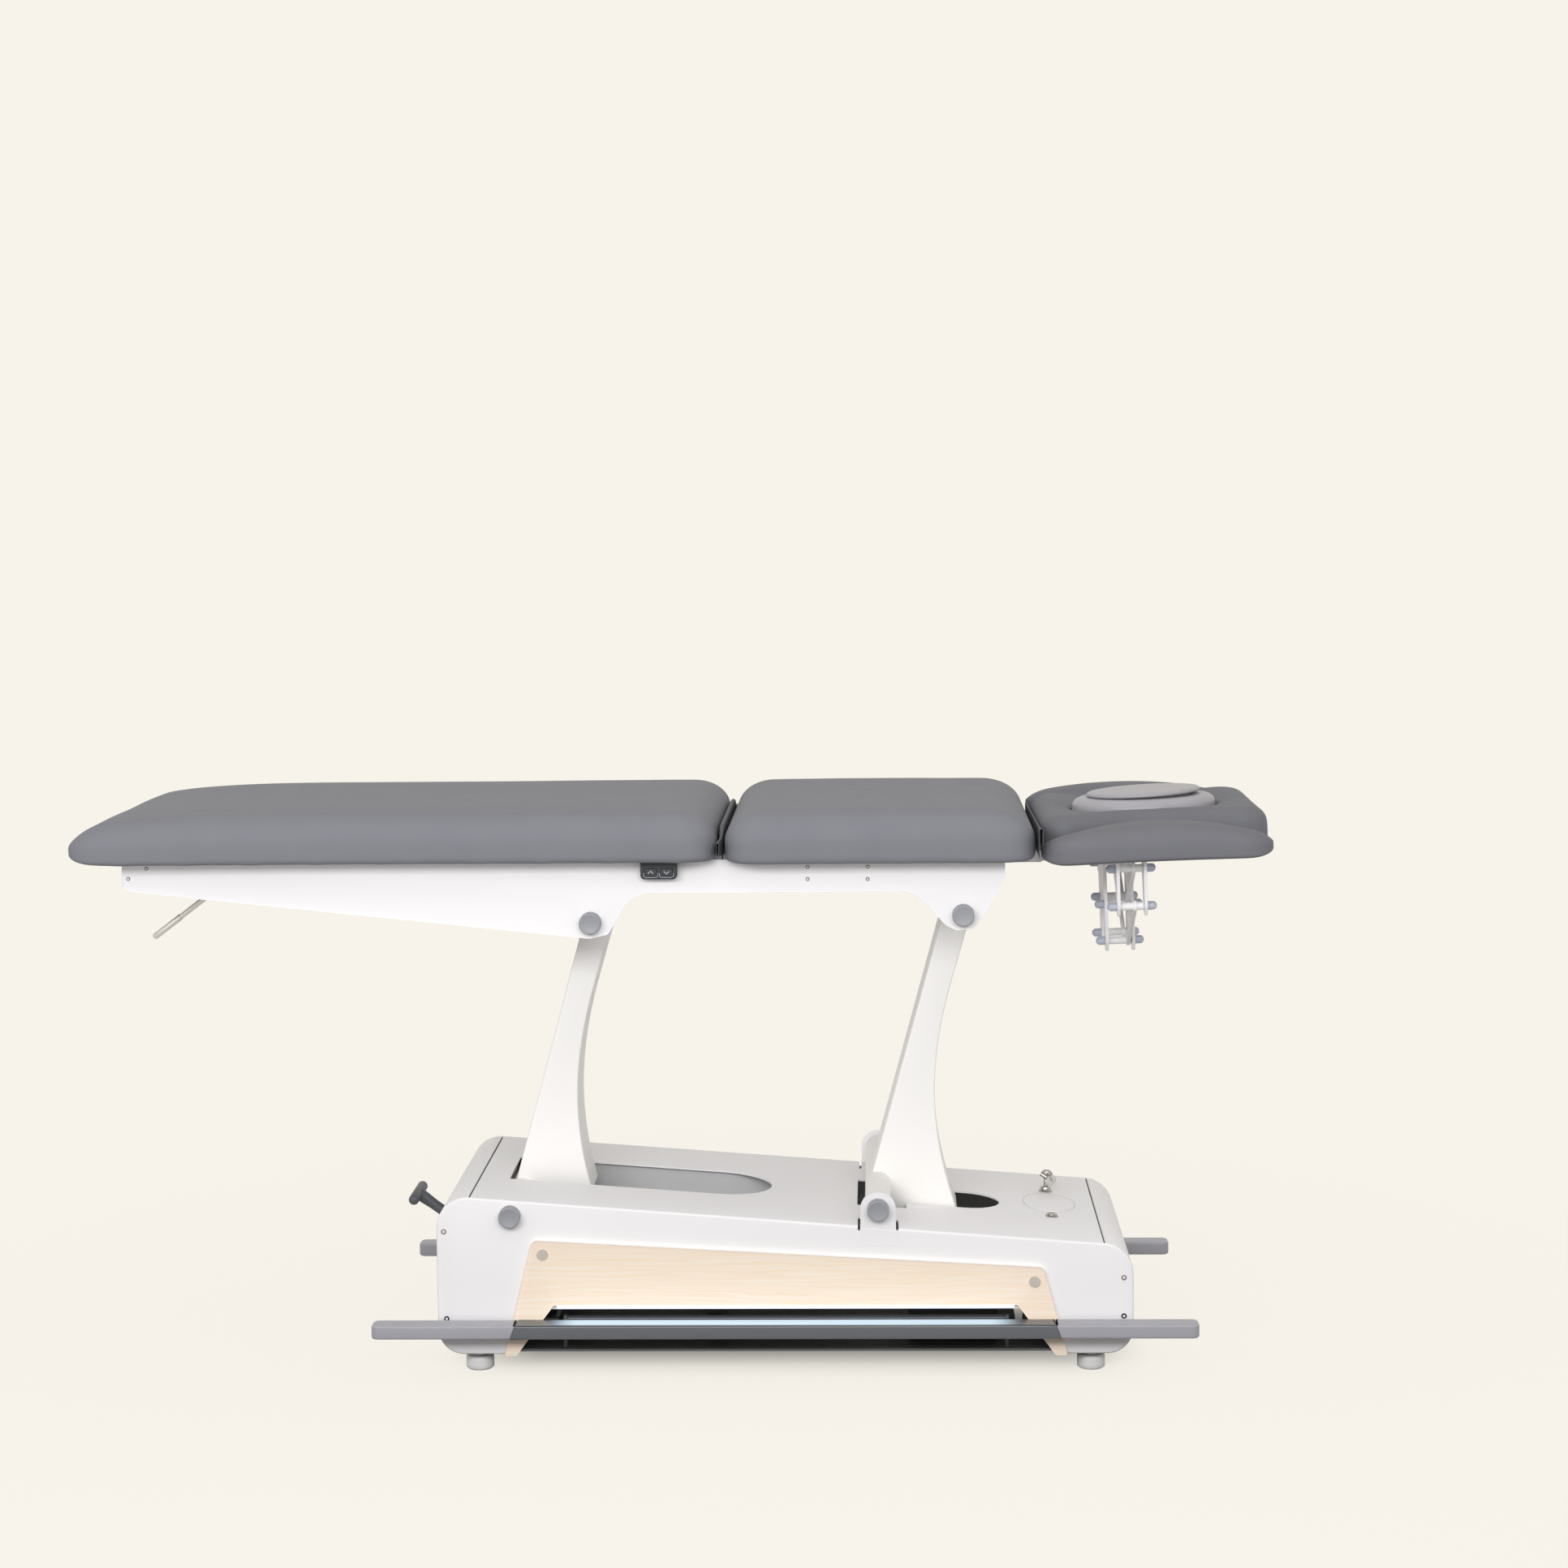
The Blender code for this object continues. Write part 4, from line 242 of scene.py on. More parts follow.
for name, stand, aim, size, power, colour in (
        ("softbox_overhead", (0.1, -0.8, 4.2), (0.1, 0.1, 0.5), (5.5, 4.0), 15, (1.0, 0.985, 0.97)),
        ("softbox_front", (-0.3, -4.4, 2.3), (0.05, 0, 0.55), (5.0, 1.0), 132, (0.97, 0.98, 1.0))):
    lamp = bpy.data.lights.new(name, "AREA")
    lamp.shape = "RECTANGLE"
    lamp.size, lamp.size_y = size
    lamp.energy = power
    lamp.color = colour
    softbox = bpy.data.objects.new(name, lamp)
    bpy.context.scene.collection.objects.link(softbox)
    facing = (Vector(aim) - Vector(stand)).to_track_quat("-Z", "Y").to_matrix().to_4x4()
    softbox.matrix_world = Matrix.Translation(stand) @ facing


# Base housing: one folded sheet for the top and both long sides, with two arm slots and two pivot
# ears a side, and a bent cover at each end. 3 mm steel, powder coated white, fine orange peel.
def powder_coat(name, dark, pale, gloss, lumps=6, specks=60, peel=(800, 0.00005), shine=0.5):
    """Baked powder: a faint cloud in the colour, uneven gloss and a fine orange peel."""
    coat, shader, place = blank(name)
    feed(shader, Base_Color=place.noise(lumps, 4).tint(dark, pale),
         Roughness=gloss + 0.14 * place.noise(specks, 3), Specular_IOR_level=shine,
         Normal=place.noise(peel[0], 2).bumped(peel[1], 0.5))
    return coat


white_coat = powder_coat("white_powder_coat", (0.872, 0.856, 0.858), (0.900, 0.884, 0.884), 0.36,
                         3.5, 40, (850, 0.00004), 0.45)
side_out, sheet, base_bottom = 0.256, 0.003, 0.037
base_foot, base_head, foot_height, head_height = -0.414, 0.787, 0.318, 0.227
base_fall, base_run = 0.091, 1.201
foot_gap, head_gap = -0.3547, 0.7360
fit = 0.0003


def top_at(x):
    """Height of the sloping top sheet at x."""
    return foot_height - base_fall / base_run * (x - base_foot)


def corners(left, right, low, high):
    """The four corners of a rectangle in turn."""
    return [(left, low), (right, low), (right, high), (left, high)]


def rounded(spots, parts=10):
    """Closed outline through (u, v, radius) corners: each corner is an arc tangent to its two sides."""
    spots = np.array(spots, float)
    here, radius = spots[:, :2], spots[:, 2:]
    back, on = np.roll(here, 1, 0) - here, np.roll(here, -1, 0) - here
    back, on = (way / np.linalg.norm(way, axis=1)[:, None] for way in (back, on))
    half = np.arccos(np.clip((back * on).sum(1), -1, 1))[:, None] / 2
    middle = back + on
    centre = here + middle / np.linalg.norm(middle, axis=1)[:, None] * radius / np.sin(half)
    first = here + back * radius / np.tan(half) - centre
    last = here + on * radius / np.tan(half) - centre
    start = np.arctan2(first[:, 1], first[:, 0])
    turn = (np.arctan2(last[:, 1], last[:, 0]) - start + pi) % (2 * pi) - pi
    angle = start[:, None] + turn[:, None] * np.linspace(0, 1, parts + 1)
    arcs = centre[:, None] + radius[:, None] * np.stack([np.cos(angle), np.sin(angle)], -1)
    return arcs.reshape(-1, 2)


def rounded_box(left, right, low, high, radii, parts=10):
    """A rectangle with its corners rounded, by one radius or by one for each corner in turn."""
    radii = np.broadcast_to(radii, 4)
    return rounded([(*spot, radius) for spot, radius in zip(corners(left, right, low, high), radii)], parts)


def inset(outline, by):
    """An outline moved to its inner side by a distance, mitred at its corners."""
    along = np.roll(outline, -1, 0) - outline
    along = along / np.maximum(np.linalg.norm(along, axis=1), 1e-9)[:, None]
    after = np.stack([-along[:, 1], along[:, 0]], 1)
    before = np.roll(after, 1, 0)
    mitre = (after + before) / np.maximum(1 + (after * before).sum(1), 0.3)[:, None]
    area = (outline[:, 0] * np.roll(outline[:, 1], -1) - outline[:, 1] * np.roll(outline[:, 0], -1)).sum()
    return outline + mitre * by * np.sign(area)


def skinned(rings):
    """Rings of points as a closed skin: quads between the rings and one face over either end."""
    rows, columns = rings.shape[:2]
    ends = [list(range(columns)), list(range((rows - 1) * columns, rows * columns))]
    return rings.reshape(-1, 3), grid_faces(rows, columns, False, True) + ends


def slab(outline, low, high, plane, edge=0.0, steps=4):
    """A plate: its outline carried from low to high, drawn in along a quarter circle at both faces."""
    outline = np.asarray(outline, float)
    outline = outline[np.linalg.norm(outline - np.roll(outline, 1, 0), axis=1) > 1e-6]
    swing = np.linspace(0, pi / 2, steps + 1) if edge else np.array((pi / 2,))
    draws, rises = edge * (1 - np.sin(swing)), edge * (1 - np.cos(swing))
    flat = np.stack([inset(outline, draw) if draw else outline for draw in (*draws, *draws[::-1])])
    heights = np.concatenate([low + rises, high - rises[::-1]])
    heights = np.broadcast_to(heights[:, None], flat.shape[:2])
    u, v = flat[..., 0], flat[..., 1]
    order = {"XY": (u, v, heights), "XZ": (u, heights, v), "YZ": (heights, u, v)}
    return skinned(np.stack(order[plane], -1))


def lathe(profile, centre, axis, count=48):
    """A turned solid: (distance along the axis, radius) steps carried round a line, closed at both ends."""
    along, radius = np.array(profile, float).T
    angle = circle(count)
    u = centre[0] + np.outer(radius, np.cos(angle))
    v = centre[1] + np.outer(radius, np.sin(angle))
    far = np.broadcast_to(along[:, None], u.shape)
    return skinned(np.stack({"X": (far, u, v), "Y": (u, far, v), "Z": (u, v, far)}[axis], -1))


def joined(*shapes):
    """Several point and face sets as one."""
    clouds = [np.asarray(points).reshape(-1, 3) for points, _ in shapes]
    starts = np.cumsum([0] + [len(cloud) for cloud in clouds])
    faces = [[i + start for i in face] for start, shape in zip(starts, shapes) for face in shape[1]]
    return np.concatenate(clouds), faces


def carved(name, body, cutters, material, smooth=30):
    """A solid with others cut out of it, as one plain mesh."""
    piece = link(name, *body, material, smooth)
    tools = [link(f"{name}_cut", *cutter, None) for cutter in cutters]
    for tool in tools:
        step = piece.modifiers.new("cut", "BOOLEAN")
        step.object, step.solver = tool, "EXACT"
    bpy.context.view_layer.update()
    cut = bpy.data.meshes.new_from_object(piece.evaluated_get(bpy.context.evaluated_depsgraph_get()))
    piece.modifiers.clear()
    piece.data = cut
    cut.shade_smooth()
    cut.set_sharp_from_angle(angle=radians(smooth))
    for tool in tools:
        bpy.data.objects.remove(tool)
    return piece


def stands_for(piece, body, *nodes):
    """The piece moves with a body and hides the nodes it stands for."""
    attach(piece, body)
    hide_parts(*nodes)
    return piece


def fitted(name, shape, material, body, node, smooth=30):
    """A shape made a piece that stands for one CAD node of a body."""
    return stands_for(link(name, *shape, material, smooth), body, node)


def trim(name, shape, material, body, smooth=30):
    """A shape made a piece of trim that rides on a body, with its own finish slot."""
    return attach(link(name, *shape, material, smooth), body)


def dress(material, *nodes):
    """CAD nodes whose shape is right get this finish."""
    for node in nodes:
        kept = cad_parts[node].data
        kept.materials.clear()
        kept.materials.append(material)


base_rim = rounded([(base_foot, base_bottom, 0.045), (base_head, base_bottom, 0.045),
                    (base_head, head_height, 0.055), (base_foot, foot_height, 0.055)], 16)
inside = [(-1, -1), (1, -1), (1, 1), (head_gap, 1), (head_gap, top_at(head_gap) - sheet),
          (foot_gap, top_at(foot_gap) - sheet), (foot_gap, 1), (-1, 1)]
notch = [(-0.3494, -0.0518), (0.7248, -0.0518), (0.5997, 0.117), (-0.2241, 0.117)]
foot_slot = rounded_box(-0.305, 0.158, -0.0925, 0.0925, (0.004, 0.0924, 0.0924, 0.004), 20)
head_slot = rounded_box(0.312, 0.566, -0.064, 0.064, (0.004, 0.0639, 0.0639, 0.004), 20)
ear_x, ear_z, ear_half = 0.3488, 0.2917, 0.0305
slit_in, slit_out = ear_half + fit, ear_half + 0.0045
slits = [slab(corners(ear_x + way * slit_in, ear_x + way * slit_out, top_at(ear_x) - 0.006, ear_z),
              side * 0.193, side * 0.259, "XZ") for way in (-1, 1) for side in (-1, 1)]
crossing = corners(ear_x - 0.0368, ear_x + 0.05, 0.2, 0.4)
housing = carved("base_shell", slab(base_rim, -side_out, side_out, "XZ", 0.004),
                 [slab(inside, sheet - side_out, side_out - sheet, "XZ"), slab(notch, -1, 1, "XZ"),
                  slab(foot_slot, 0.2, 0.4, "XY"), slab(head_slot, 0.2, 0.4, "XY"),
                  slab(crossing, -0.1, 0.1, "XZ"), *slits], white_coat)
ear = rounded_box(ear_x - ear_half, ear_x + ear_half, top_at(ear_x) - 0.03, ear_z + ear_half,
                  (0.0005, 0.0005, ear_half * 0.999, ear_half * 0.999), 16)
ears = [slab(ear, side * (side_out - sheet), side * (side_out - 0.0002), "XZ", 0.0008) for side in (-1, 1)]
ears = link("pivot_ears", *joined(*ears), white_coat)
stands_for(housing, "base", "base_housing")
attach(ears, "base")


def bent(path, thickness):
    """Outline of a bent sheet: an open path and the same path moved to its left."""
    along = np.gradient(path, axis=0)
    along = along / np.linalg.norm(along, axis=1)[:, None]
    left = path + np.stack([-along[:, 1], along[:, 0]], 1) * thickness
    return np.concatenate([path, left[::-1]])


arcs = base_rim.reshape(4, 17, 2)
head_path = np.concatenate([arcs[1], arcs[2]])
head_path[-1, 0] += 0.003
foot_path = np.concatenate([arcs[3], arcs[0]])
foot_path[0, 0] -= 0.003
cover_half = side_out - sheet - fit
pedal_slot = rounded_box(-0.013, 0.013, 0.062, 0.2335, (0.004, 0.004, 0.0129, 0.0129))
foot_cover = carved("foot_end_shell", slab(bent(foot_path, sheet), -cover_half, cover_half, "XZ", 0.0005),
                    [slab(pedal_slot, base_foot - 0.02, base_foot + 0.02, "YZ")], white_coat)
stands_for(foot_cover, "base", "foot_end_cover")
fitted("head_end_shell", slab(bent(head_path, sheet), -cover_half, cover_half, "XZ", 0.0005), white_coat,
       "base", "head_end_cover")


# Slit shade: a strip of black sheet under the open slit between the top sheet and each end
# cover, a dark sheet put in as painted shade so that the slit shows dark.
# Painted shade: a near-black finish for the strips seen through the slits.
slit_shade, shader, place = blank("black_slit_shade")
feed(shader, Base_Color=place.noise(300, 3).tint((0.012, 0.012, 0.013), (0.022, 0.022, 0.023)),
     Roughness=0.95, Specular_IOR_level=0.1)
shade_under, shade_top, shade_half = 0.0060, 0.0033, 0.251
shade_strips = []
for first, last in ((foot_gap - 0.010, foot_gap + 0.006), (head_gap - 0.006, head_gap + 0.010)):
    edge = [(first, shade_under), (last, shade_under), (last, shade_top), (first, shade_top)]
    shade_strips.append(slab([(x, top_at(x) - drop) for x, drop in edge], -shade_half, shade_half, "XZ"))
trim("slit_shade_strips", joined(*shade_strips), slit_shade, "base")


# Socket screws in the base sides: small button heads, plain zinc at the top and blackened at the
# bottom, each with a pale disc in its socket, a painted highlight on the dome's middle. They hold the side
# sheet to the end covers.
def plain_metal(name, colour, rough, scale=180):
    """Bare or plated metal with faint rubbing marks in its gloss."""
    metal, shader, place = blank(name)
    marks = place.noise(scale, 4, 0.6)
    feed(shader, Base_Color=marks.tint([0.86 * c for c in colour], colour), Metallic=1.0,
         Roughness=rough - 0.08 + 0.2 * marks, Normal=marks.bumped(0.00003, 0.4))
    return metal


zinc = plain_metal("zinc_plate", (0.30, 0.28, 0.265), 0.45)
black_zinc = plain_metal("black_zinc", (0.05, 0.05, 0.055), 0.45)
steel = plain_metal("plain_steel", (0.62, 0.61, 0.6), 0.32)


def head_profile(face, side, radius, proud):
    """A low domed screw head standing on a face, with a round socket sunk in its middle."""
    steps = np.array([(-0.0005, 0.6), (0.0, 1.0), (0.45, 1.0), (0.8, 0.92), (1.0, 0.80), (1.0, 0.50),
                      (0.3, 0.48)])
    return np.stack([side * (face + proud * steps[:, 0]), radius * steps[:, 1]], 1)


def side_screws(name, places, face, radius, proud, material, body):
    """The same screws at (x, z) places on both long sides."""
    heads, painted_glints = [], []
    for spot in places:
        for side in (-1, 1):
            heads.append(lathe(head_profile(face, side, radius, proud), spot, "Y", 28))
            # A pale disc in each socket: a painted highlight on the middle of the dome.
            painted_glint = [(side * (face + share * proud), 0.46 * radius) for share in (0.2, 0.9)]
            painted_glints.append(lathe(painted_glint, spot, "Y", 20))
    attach(link(f"{name}_painted_glints", *joined(*painted_glints), white_coat), body)
    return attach(link(name, *joined(*heads), material), body)


upper_screws, lower_screws = [(-0.4010, 0.2540), (0.7704, 0.1710)], [(-0.3985, 0.1005), (0.7705, 0.1034)]
side_screws("base_screws_upper", upper_screws, side_out, 0.0047, 0.0016, zinc, "base")
side_screws("base_screws_lower", lower_screws, side_out, 0.0047, 0.0016, black_zinc, "base")


# Inside the base: the floor plate, the tray under the foot arm's slot, the drive and its control
# box. Powder coat in greys and black on the steel parts, and moulded black on the boxes.
def moulded(name, dark, pale, rough=0.45, grain=1400):
    """Moulded plastic: a little cloudy in colour, with a fine spark-eroded grain."""
    plastic, shader, place = blank(name)
    feed(shader, Base_Color=place.noise(25, 4).tint(dark, pale),
         Roughness=rough - 0.05 + 0.1 * place.noise(90, 2), Specular_IOR_level=0.45,
         Normal=place.noise(grain, 2).bumped(0.00004, 0.6))
    return plastic


grey_coat = powder_coat("grey_powder_coat", (0.33, 0.33, 0.335), (0.42, 0.42, 0.425), 0.42)
black_coat = powder_coat("black_powder_coat", (0.095, 0.095, 0.098), (0.125, 0.125, 0.128), 0.5, 8)
tray_coat = powder_coat("pale_grey_coat", (0.50, 0.50, 0.505), (0.58, 0.58, 0.585), 0.42)
black_plastic = moulded("black_plastic", (0.018, 0.019, 0.022), (0.028, 0.029, 0.033), 0.5)
dress(tray_coat, "arm_trough")
dress(grey_coat, "castor_head_shaft")
dress(black_coat, "chassis")
dress(black_plastic, "lift_drive", "control_box")
dress(steel, "drive_rod", "castor_tie_rod")


# Wood panels: an 8.5 mm board with a pale oak face on each long side, notched over the foot bar
# and held by two broad flat screws with a spun finish. The grain runs along the table.
sides = (("near", -1), ("far", 1))
oak, shader, place = blank("pale_oak")
drift = place.scaled((1.1, 1, 9)).noise(2.2, 3)
wander = place.node("ShaderNodeVectorMath", {"operation": "ADD"},
                    {0: place.scaled((0.9, 1, 1)),
                     1: drift.node("ShaderNodeCombineXYZ", {}, {2: 0.05 * drift})})
streaks = wander.scaled((2.2, 1, 150)).noise(3.0, 5, 0.62)
pores = wander.scaled((14, 1, 900)).noise(1.6, 2, 0.7)
flame = wander.node("ShaderNodeTexWave", {"wave_type": "RINGS", "rings_direction": "Y"},
                    {"Vector": wander.scaled((0.35, 1, 9)), "Scale": 4.2, "Distortion": 7.0,
                     "Detail": 3.0, "Detail Scale": 1.4})
board = streaks.band(0.3, 0.7).tint((0.975, 0.80, 0.62), (1.0, 0.885, 0.765))
board = (0.35 * flame.band(0.25, 0.95)).tint(board, (0.96, 0.76, 0.555))
board = (0.45 * pores.band(0.60, 0.74)).tint(board, (0.91, 0.71, 0.51))
feed(shader, Base_Color=board, Roughness=0.42 + 0.16 * pores, Specular_IOR_level=0.35,
     Normal=(streaks * 0.5 + pores).bumped(0.00008, 0.35))
edge_band = moulded("pale_edge_band", (0.84, 0.76, 0.71), (0.9, 0.82, 0.77), 0.5)
notch_high = 0.1258
panel_rim = rounded([(-0.2985, base_bottom, 0.004), (-0.2775, base_bottom, 0.006),
                     (-0.2116, notch_high, 0.005), (0.5872, notch_high, 0.005),
                     (0.6530, base_bottom, 0.006), (0.6740, base_bottom, 0.004),
                     (0.6320, 0.1905, 0.012), (-0.2480, 0.2394, 0.012)], 12)
panel_in, panel_out = side_out + fit, side_out + 0.0088
for name, side in sides:
    panel = fitted(f"oak_panel_{name}", slab(panel_rim, side * panel_in, side * panel_out, "XZ", 0.0008, 3),
                   oak, "base", f"wood_panel_{name}")
    panel.data.materials.append(edge_band)
    facing = np.zeros(len(panel.data.polygons) * 3)
    panel.data.polygons.foreach_get("normal", facing)
    edges = (np.abs(facing.reshape(-1, 3)[:, 1]) < 0.5).astype(np.int32)
    panel.data.polygons.foreach_set("material_index", edges)

spun, shader, place = blank("spun_steel")
feed(shader, Base_Color=place.noise(900, 3).tint((0.5, 0.47, 0.45), (0.68, 0.65, 0.62)), Metallic=1.0,
     Roughness=0.34 + 0.12 * place.noise(600, 2), Anisotropic=0.75)
spun_steps = np.array([(0.0, 0.0097), (0.0014, 0.0097), (0.0020, 0.0091), (0.0021, 0.0078), (0.0021, 0.0012)])
spun_heads = [lathe((spun_steps + (panel_out, 0)) * (side, 1), spot, "Y", 48)
              for spot in ((-0.2300, 0.2150), (0.6170, 0.1660)) for side in (-1, 1)]
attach(link("panel_screws", *joined(*spun_heads), spun), "base")


# Light strips: a clear moulding along the notch of each panel, lit pale blue from within. Its shine
# on the foot bar below is a painted glow in the bar's own finish.
lit_strip, shader, place = blank("lit_strip")
feed(shader, Base_Color=place.noise(30, 2).tint((0.82, 0.82, 0.85), (0.88, 0.88, 0.9)), Roughness=0.25,
     Emission_Color=(0.82, 0.93, 1.0, 1), Emission_Strength=0.5,
     Normal=place.noise(400, 2).bumped(0.00003, 0.4))
dress(lit_strip, "light_strip_near", "light_strip_far")


# Foot bars: a dark anodised bar on a pivot tube along each side, with a pale grey moulded end cap
# pushed over each end. Treading on either bar works the lift.
anodised, shader, place = blank("dark_anodised")
lines = place.scaled((0.5, 60, 60)).noise(25, 4)
# Painted reflection of the light strip: a pale blue glow emitted from the bar's top face, behind its front
# edge and fading out towards the end caps.
painted_glow_behind_front = 1 - place.axis("Y").math("ABSOLUTE", place.axis("Y")).band(0.2990, 0.3110)
painted_strip_glow = place.axis("Z").band(0.0990, 0.1012) * painted_glow_behind_front
painted_strip_glow = painted_strip_glow * place.axis("X").window((-0.235, -0.165), (0.535, 0.605))
feed(shader, Base_Color=lines.tint((0.105, 0.112, 0.126), (0.135, 0.143, 0.158)), Metallic=0.35,
     Roughness=0.3 + 0.1 * lines, Normal=lines.bumped(0.00003, 0.4),
     Emission_Color=painted_strip_glow.tint((0, 0, 0), (0.60, 0.74, 0.83)), Emission_Strength=1.0)
pale_cap = moulded("pale_grey_cap", (0.36, 0.355, 0.39), (0.40, 0.395, 0.43), 0.42)
bar_out, bar_depth, bar_low, bar_high = 0.3125, 0.043, 0.0785, 0.1020
bar_middle, joint_slant = (bar_low + bar_high) / 2, 0.41
joint_foot, joint_head, tip_foot, tip_head = -0.2793, 0.6560, -0.5225, 0.8952
tube_foot, tube_head, tube_lane, tube_radius = -0.1916, 0.5672, 0.225, 0.008


def slanted(shape, joint, way):
    """Points near a joint sheared along the bar, so that the joint leans as it rises."""
    points = shape[0].copy()
    near = np.abs(points[:, 0] - joint) < 0.03
    points[near, 0] += way * joint_slant * (points[near, 2] - bar_middle)
    return points, shape[1]


for name, side in sides:
    lanes = sorted((side * bar_out, side * (bar_out - bar_depth)))
    middle = rounded_box(joint_foot + fit, joint_head - fit, *lanes, 0.0006, 4)
    bar = slab(middle, bar_low, bar_high, "XY", 0.0028, 5)
    bar = slanted(slanted(bar, joint_foot, 1), joint_head, -1)
    tube = [(tube_foot, tube_radius), (tube_head, tube_radius)]
    tube = lathe(tube, (side * tube_lane, bar_middle), "X", 32)
    web = slab(corners(tube_foot, tube_head, *sorted((side * 0.2278, side * 0.279))),
               bar_middle - 0.003, bar_middle + 0.003, "XY")
    fitted(f"tread_bar_{name}", joined(bar, tube, web), anodised, f"foot_bar_{name}", f"foot_bar_{name}", 40)
    for end, joint, tip, way in (("foot", joint_foot - fit, tip_foot, 1),
                                 ("head", joint_head + fit, tip_head, -1)):
        plan = rounded_box(joint, tip, *lanes, (0.0006, 0.0125, 0.0125, 0.0006), 14)
        cap = slanted(slab(plan, bar_low, bar_high, "XY", 0.0034, 6), joint, way)
        fitted(f"tread_cap_{end}_{name}", cap, pale_cap, f"foot_bar_{name}", f"foot_bar_end_{end}_{name}", 40)


# Levelling feet: white moulded discs with a ribbed rim to turn them by, each on a threaded stem
# under the floor plate.
white_plastic = moulded("white_plastic", (0.82, 0.81, 0.80), (0.88, 0.87, 0.86), 0.5)
foot_steps = [(0, 0.012), (0, 0.0205), (0.001, 0.0222), (0.003, 0.0242), (0.009, 0.0242), (0.0160, 0.0242),
              (0.0220, 0.0242), (0.0242, 0.0228), (0.0250, 0.0205), (0.0250, 0.0110), (0.0412, 0.0110)]
foot_lane = 0.205


def ribbed(shape, centre, ribs, depth, low, high):
    """A turned shape with shallow ribs round it between two heights: radius times a cosine ripple."""
    points = shape[0].copy()
    flat = points[:, :2] - centre
    angle = np.arctan2(flat[:, 1], flat[:, 0])
    inside = (points[:, 2] > low) & (points[:, 2] < high)
    ripple = 1 - depth * inside * (0.5 + 0.5 * np.cos(ribs * angle))
    points[:, :2] = centre + flat * ripple[:, None]
    return points, shape[1]


for name, side in sides:
    for end, x in (("foot", -0.348), ("head", 0.717)):
        spot = np.array((x, side * foot_lane))
        foot = ribbed(lathe(foot_steps, spot, "Z", 144), spot, 36, 0.02, 0.004, 0.021)
        fitted(f"ribbed_foot_{end}_{name}", foot, white_plastic, "base", f"levelling_foot_{end}_{name}", 50)


# Castor lift: pressing the T-shaped pedal swings two axles of rubber wheels down to the floor. The
# pedal is a sloping bar in black plastic, with a cross bar to tread on.
pedal_plastic = moulded("pedal_plastic", (0.070, 0.074, 0.084), (0.094, 0.098, 0.110), 0.5)
tread_rubber = moulded("wheel_rubber", (0.07, 0.07, 0.075), (0.1, 0.1, 0.105), 0.6)


def along_path(path, radii, facets=28):
    """A round bar: circles of the given radii square to a path, which lies close to one plane."""
    path = np.asarray(path, float)
    radii = np.broadcast_to(np.asarray(radii, float), len(path))
    heading = np.gradient(path, axis=0)
    heading = heading / np.linalg.norm(heading, axis=1)[:, None]
    guide = np.eye(3)[np.argmin(np.abs(heading).max(0))]
    side = guide - heading * (heading @ guide)[:, None]
    side = side / np.linalg.norm(side, axis=1)[:, None]
    other = np.cross(heading, side)
    angle = circle(facets)[None, :, None]
    return skinned(path[:, None] + radii[:, None, None] * (
        np.cos(angle) * side[:, None] + np.sin(angle) * other[:, None]))


def mirrored(half):
    """A profile or outline given for one side only: its points reflected, then the points themselves."""
    return [(-far, *rest) for far, *rest in half] + half[::-1]


pedal_x, head_axle_x, castor_z, rise = -0.224, 0.735, 0.075, radians(36.2)
wheel_trail, pedal_long = 0.11, 0.319
pedal_root, pedal_way = np.array((pedal_x, 0, castor_z)), np.array((-cos(rise), 0, sin(rise)))
pedal_tip = pedal_root + pedal_long * pedal_way
stem = along_path([pedal_root, pedal_tip - 0.0175 * pedal_way, pedal_tip], (0.0095, 0.0095, 0.0082))
collar = along_path([pedal_tip - far * pedal_way for far in (0.004, 0.016, 0.026, 0.034)],
                    (0.0112, 0.0108, 0.0100, 0.0096))
tread_half = [(0.061, 0.0032), (0.0600, 0.0062), (0.0582, 0.0081), (0.0555, 0.0092)]
cross_bar = lathe(mirrored(tread_half), (pedal_tip[0], pedal_tip[2]), "Y", 40)
shaft = lathe([(-0.19, 0.010), (0.19, 0.010)], (pedal_x, castor_z), "Y", 32)
wheel_arm = rounded_box(pedal_x - 0.119, pedal_x + 0.006, castor_z - 0.009, castor_z + 0.009,
                        (0.0089, 0.001, 0.001, 0.0089))
wheel_arms = [slab(wheel_arm, side * 0.143, side * 0.148, "XZ", 0.0006) for side in (-1, 1)]
tie_lug = slab(corners(pedal_x - 0.008, pedal_x + 0.008, castor_z, castor_z + 0.044), 0.086, 0.092, "XZ")
tie_pin = lathe([(0.089, 0.004), (0.105, 0.004)], (pedal_x, castor_z + 0.036), "Y", 20)
fitted("tread_pedal", joined(stem, collar, cross_bar, shaft, *wheel_arms, tie_lug, tie_pin), pedal_plastic,
       "castor_pedal", "castor_pedal", 40)
wheel_half = [(0.171, 0.010), (0.171, 0.020), (0.1702, 0.0225), (0.168, 0.0245), (0.165, 0.025),
              (0.155, 0.025), (0.152, 0.0245), (0.1498, 0.0225), (0.149, 0.020), (0.149, 0.005)]
for end, x in (("foot", pedal_x), ("head", head_axle_x)):
    wheels = lathe(mirrored(wheel_half), (x - wheel_trail, castor_z), "Y", 56)
    fitted(f"{end}_wheels", wheels, tread_rubber, f"{end}_wheel_set", f"{end}_wheel_set")


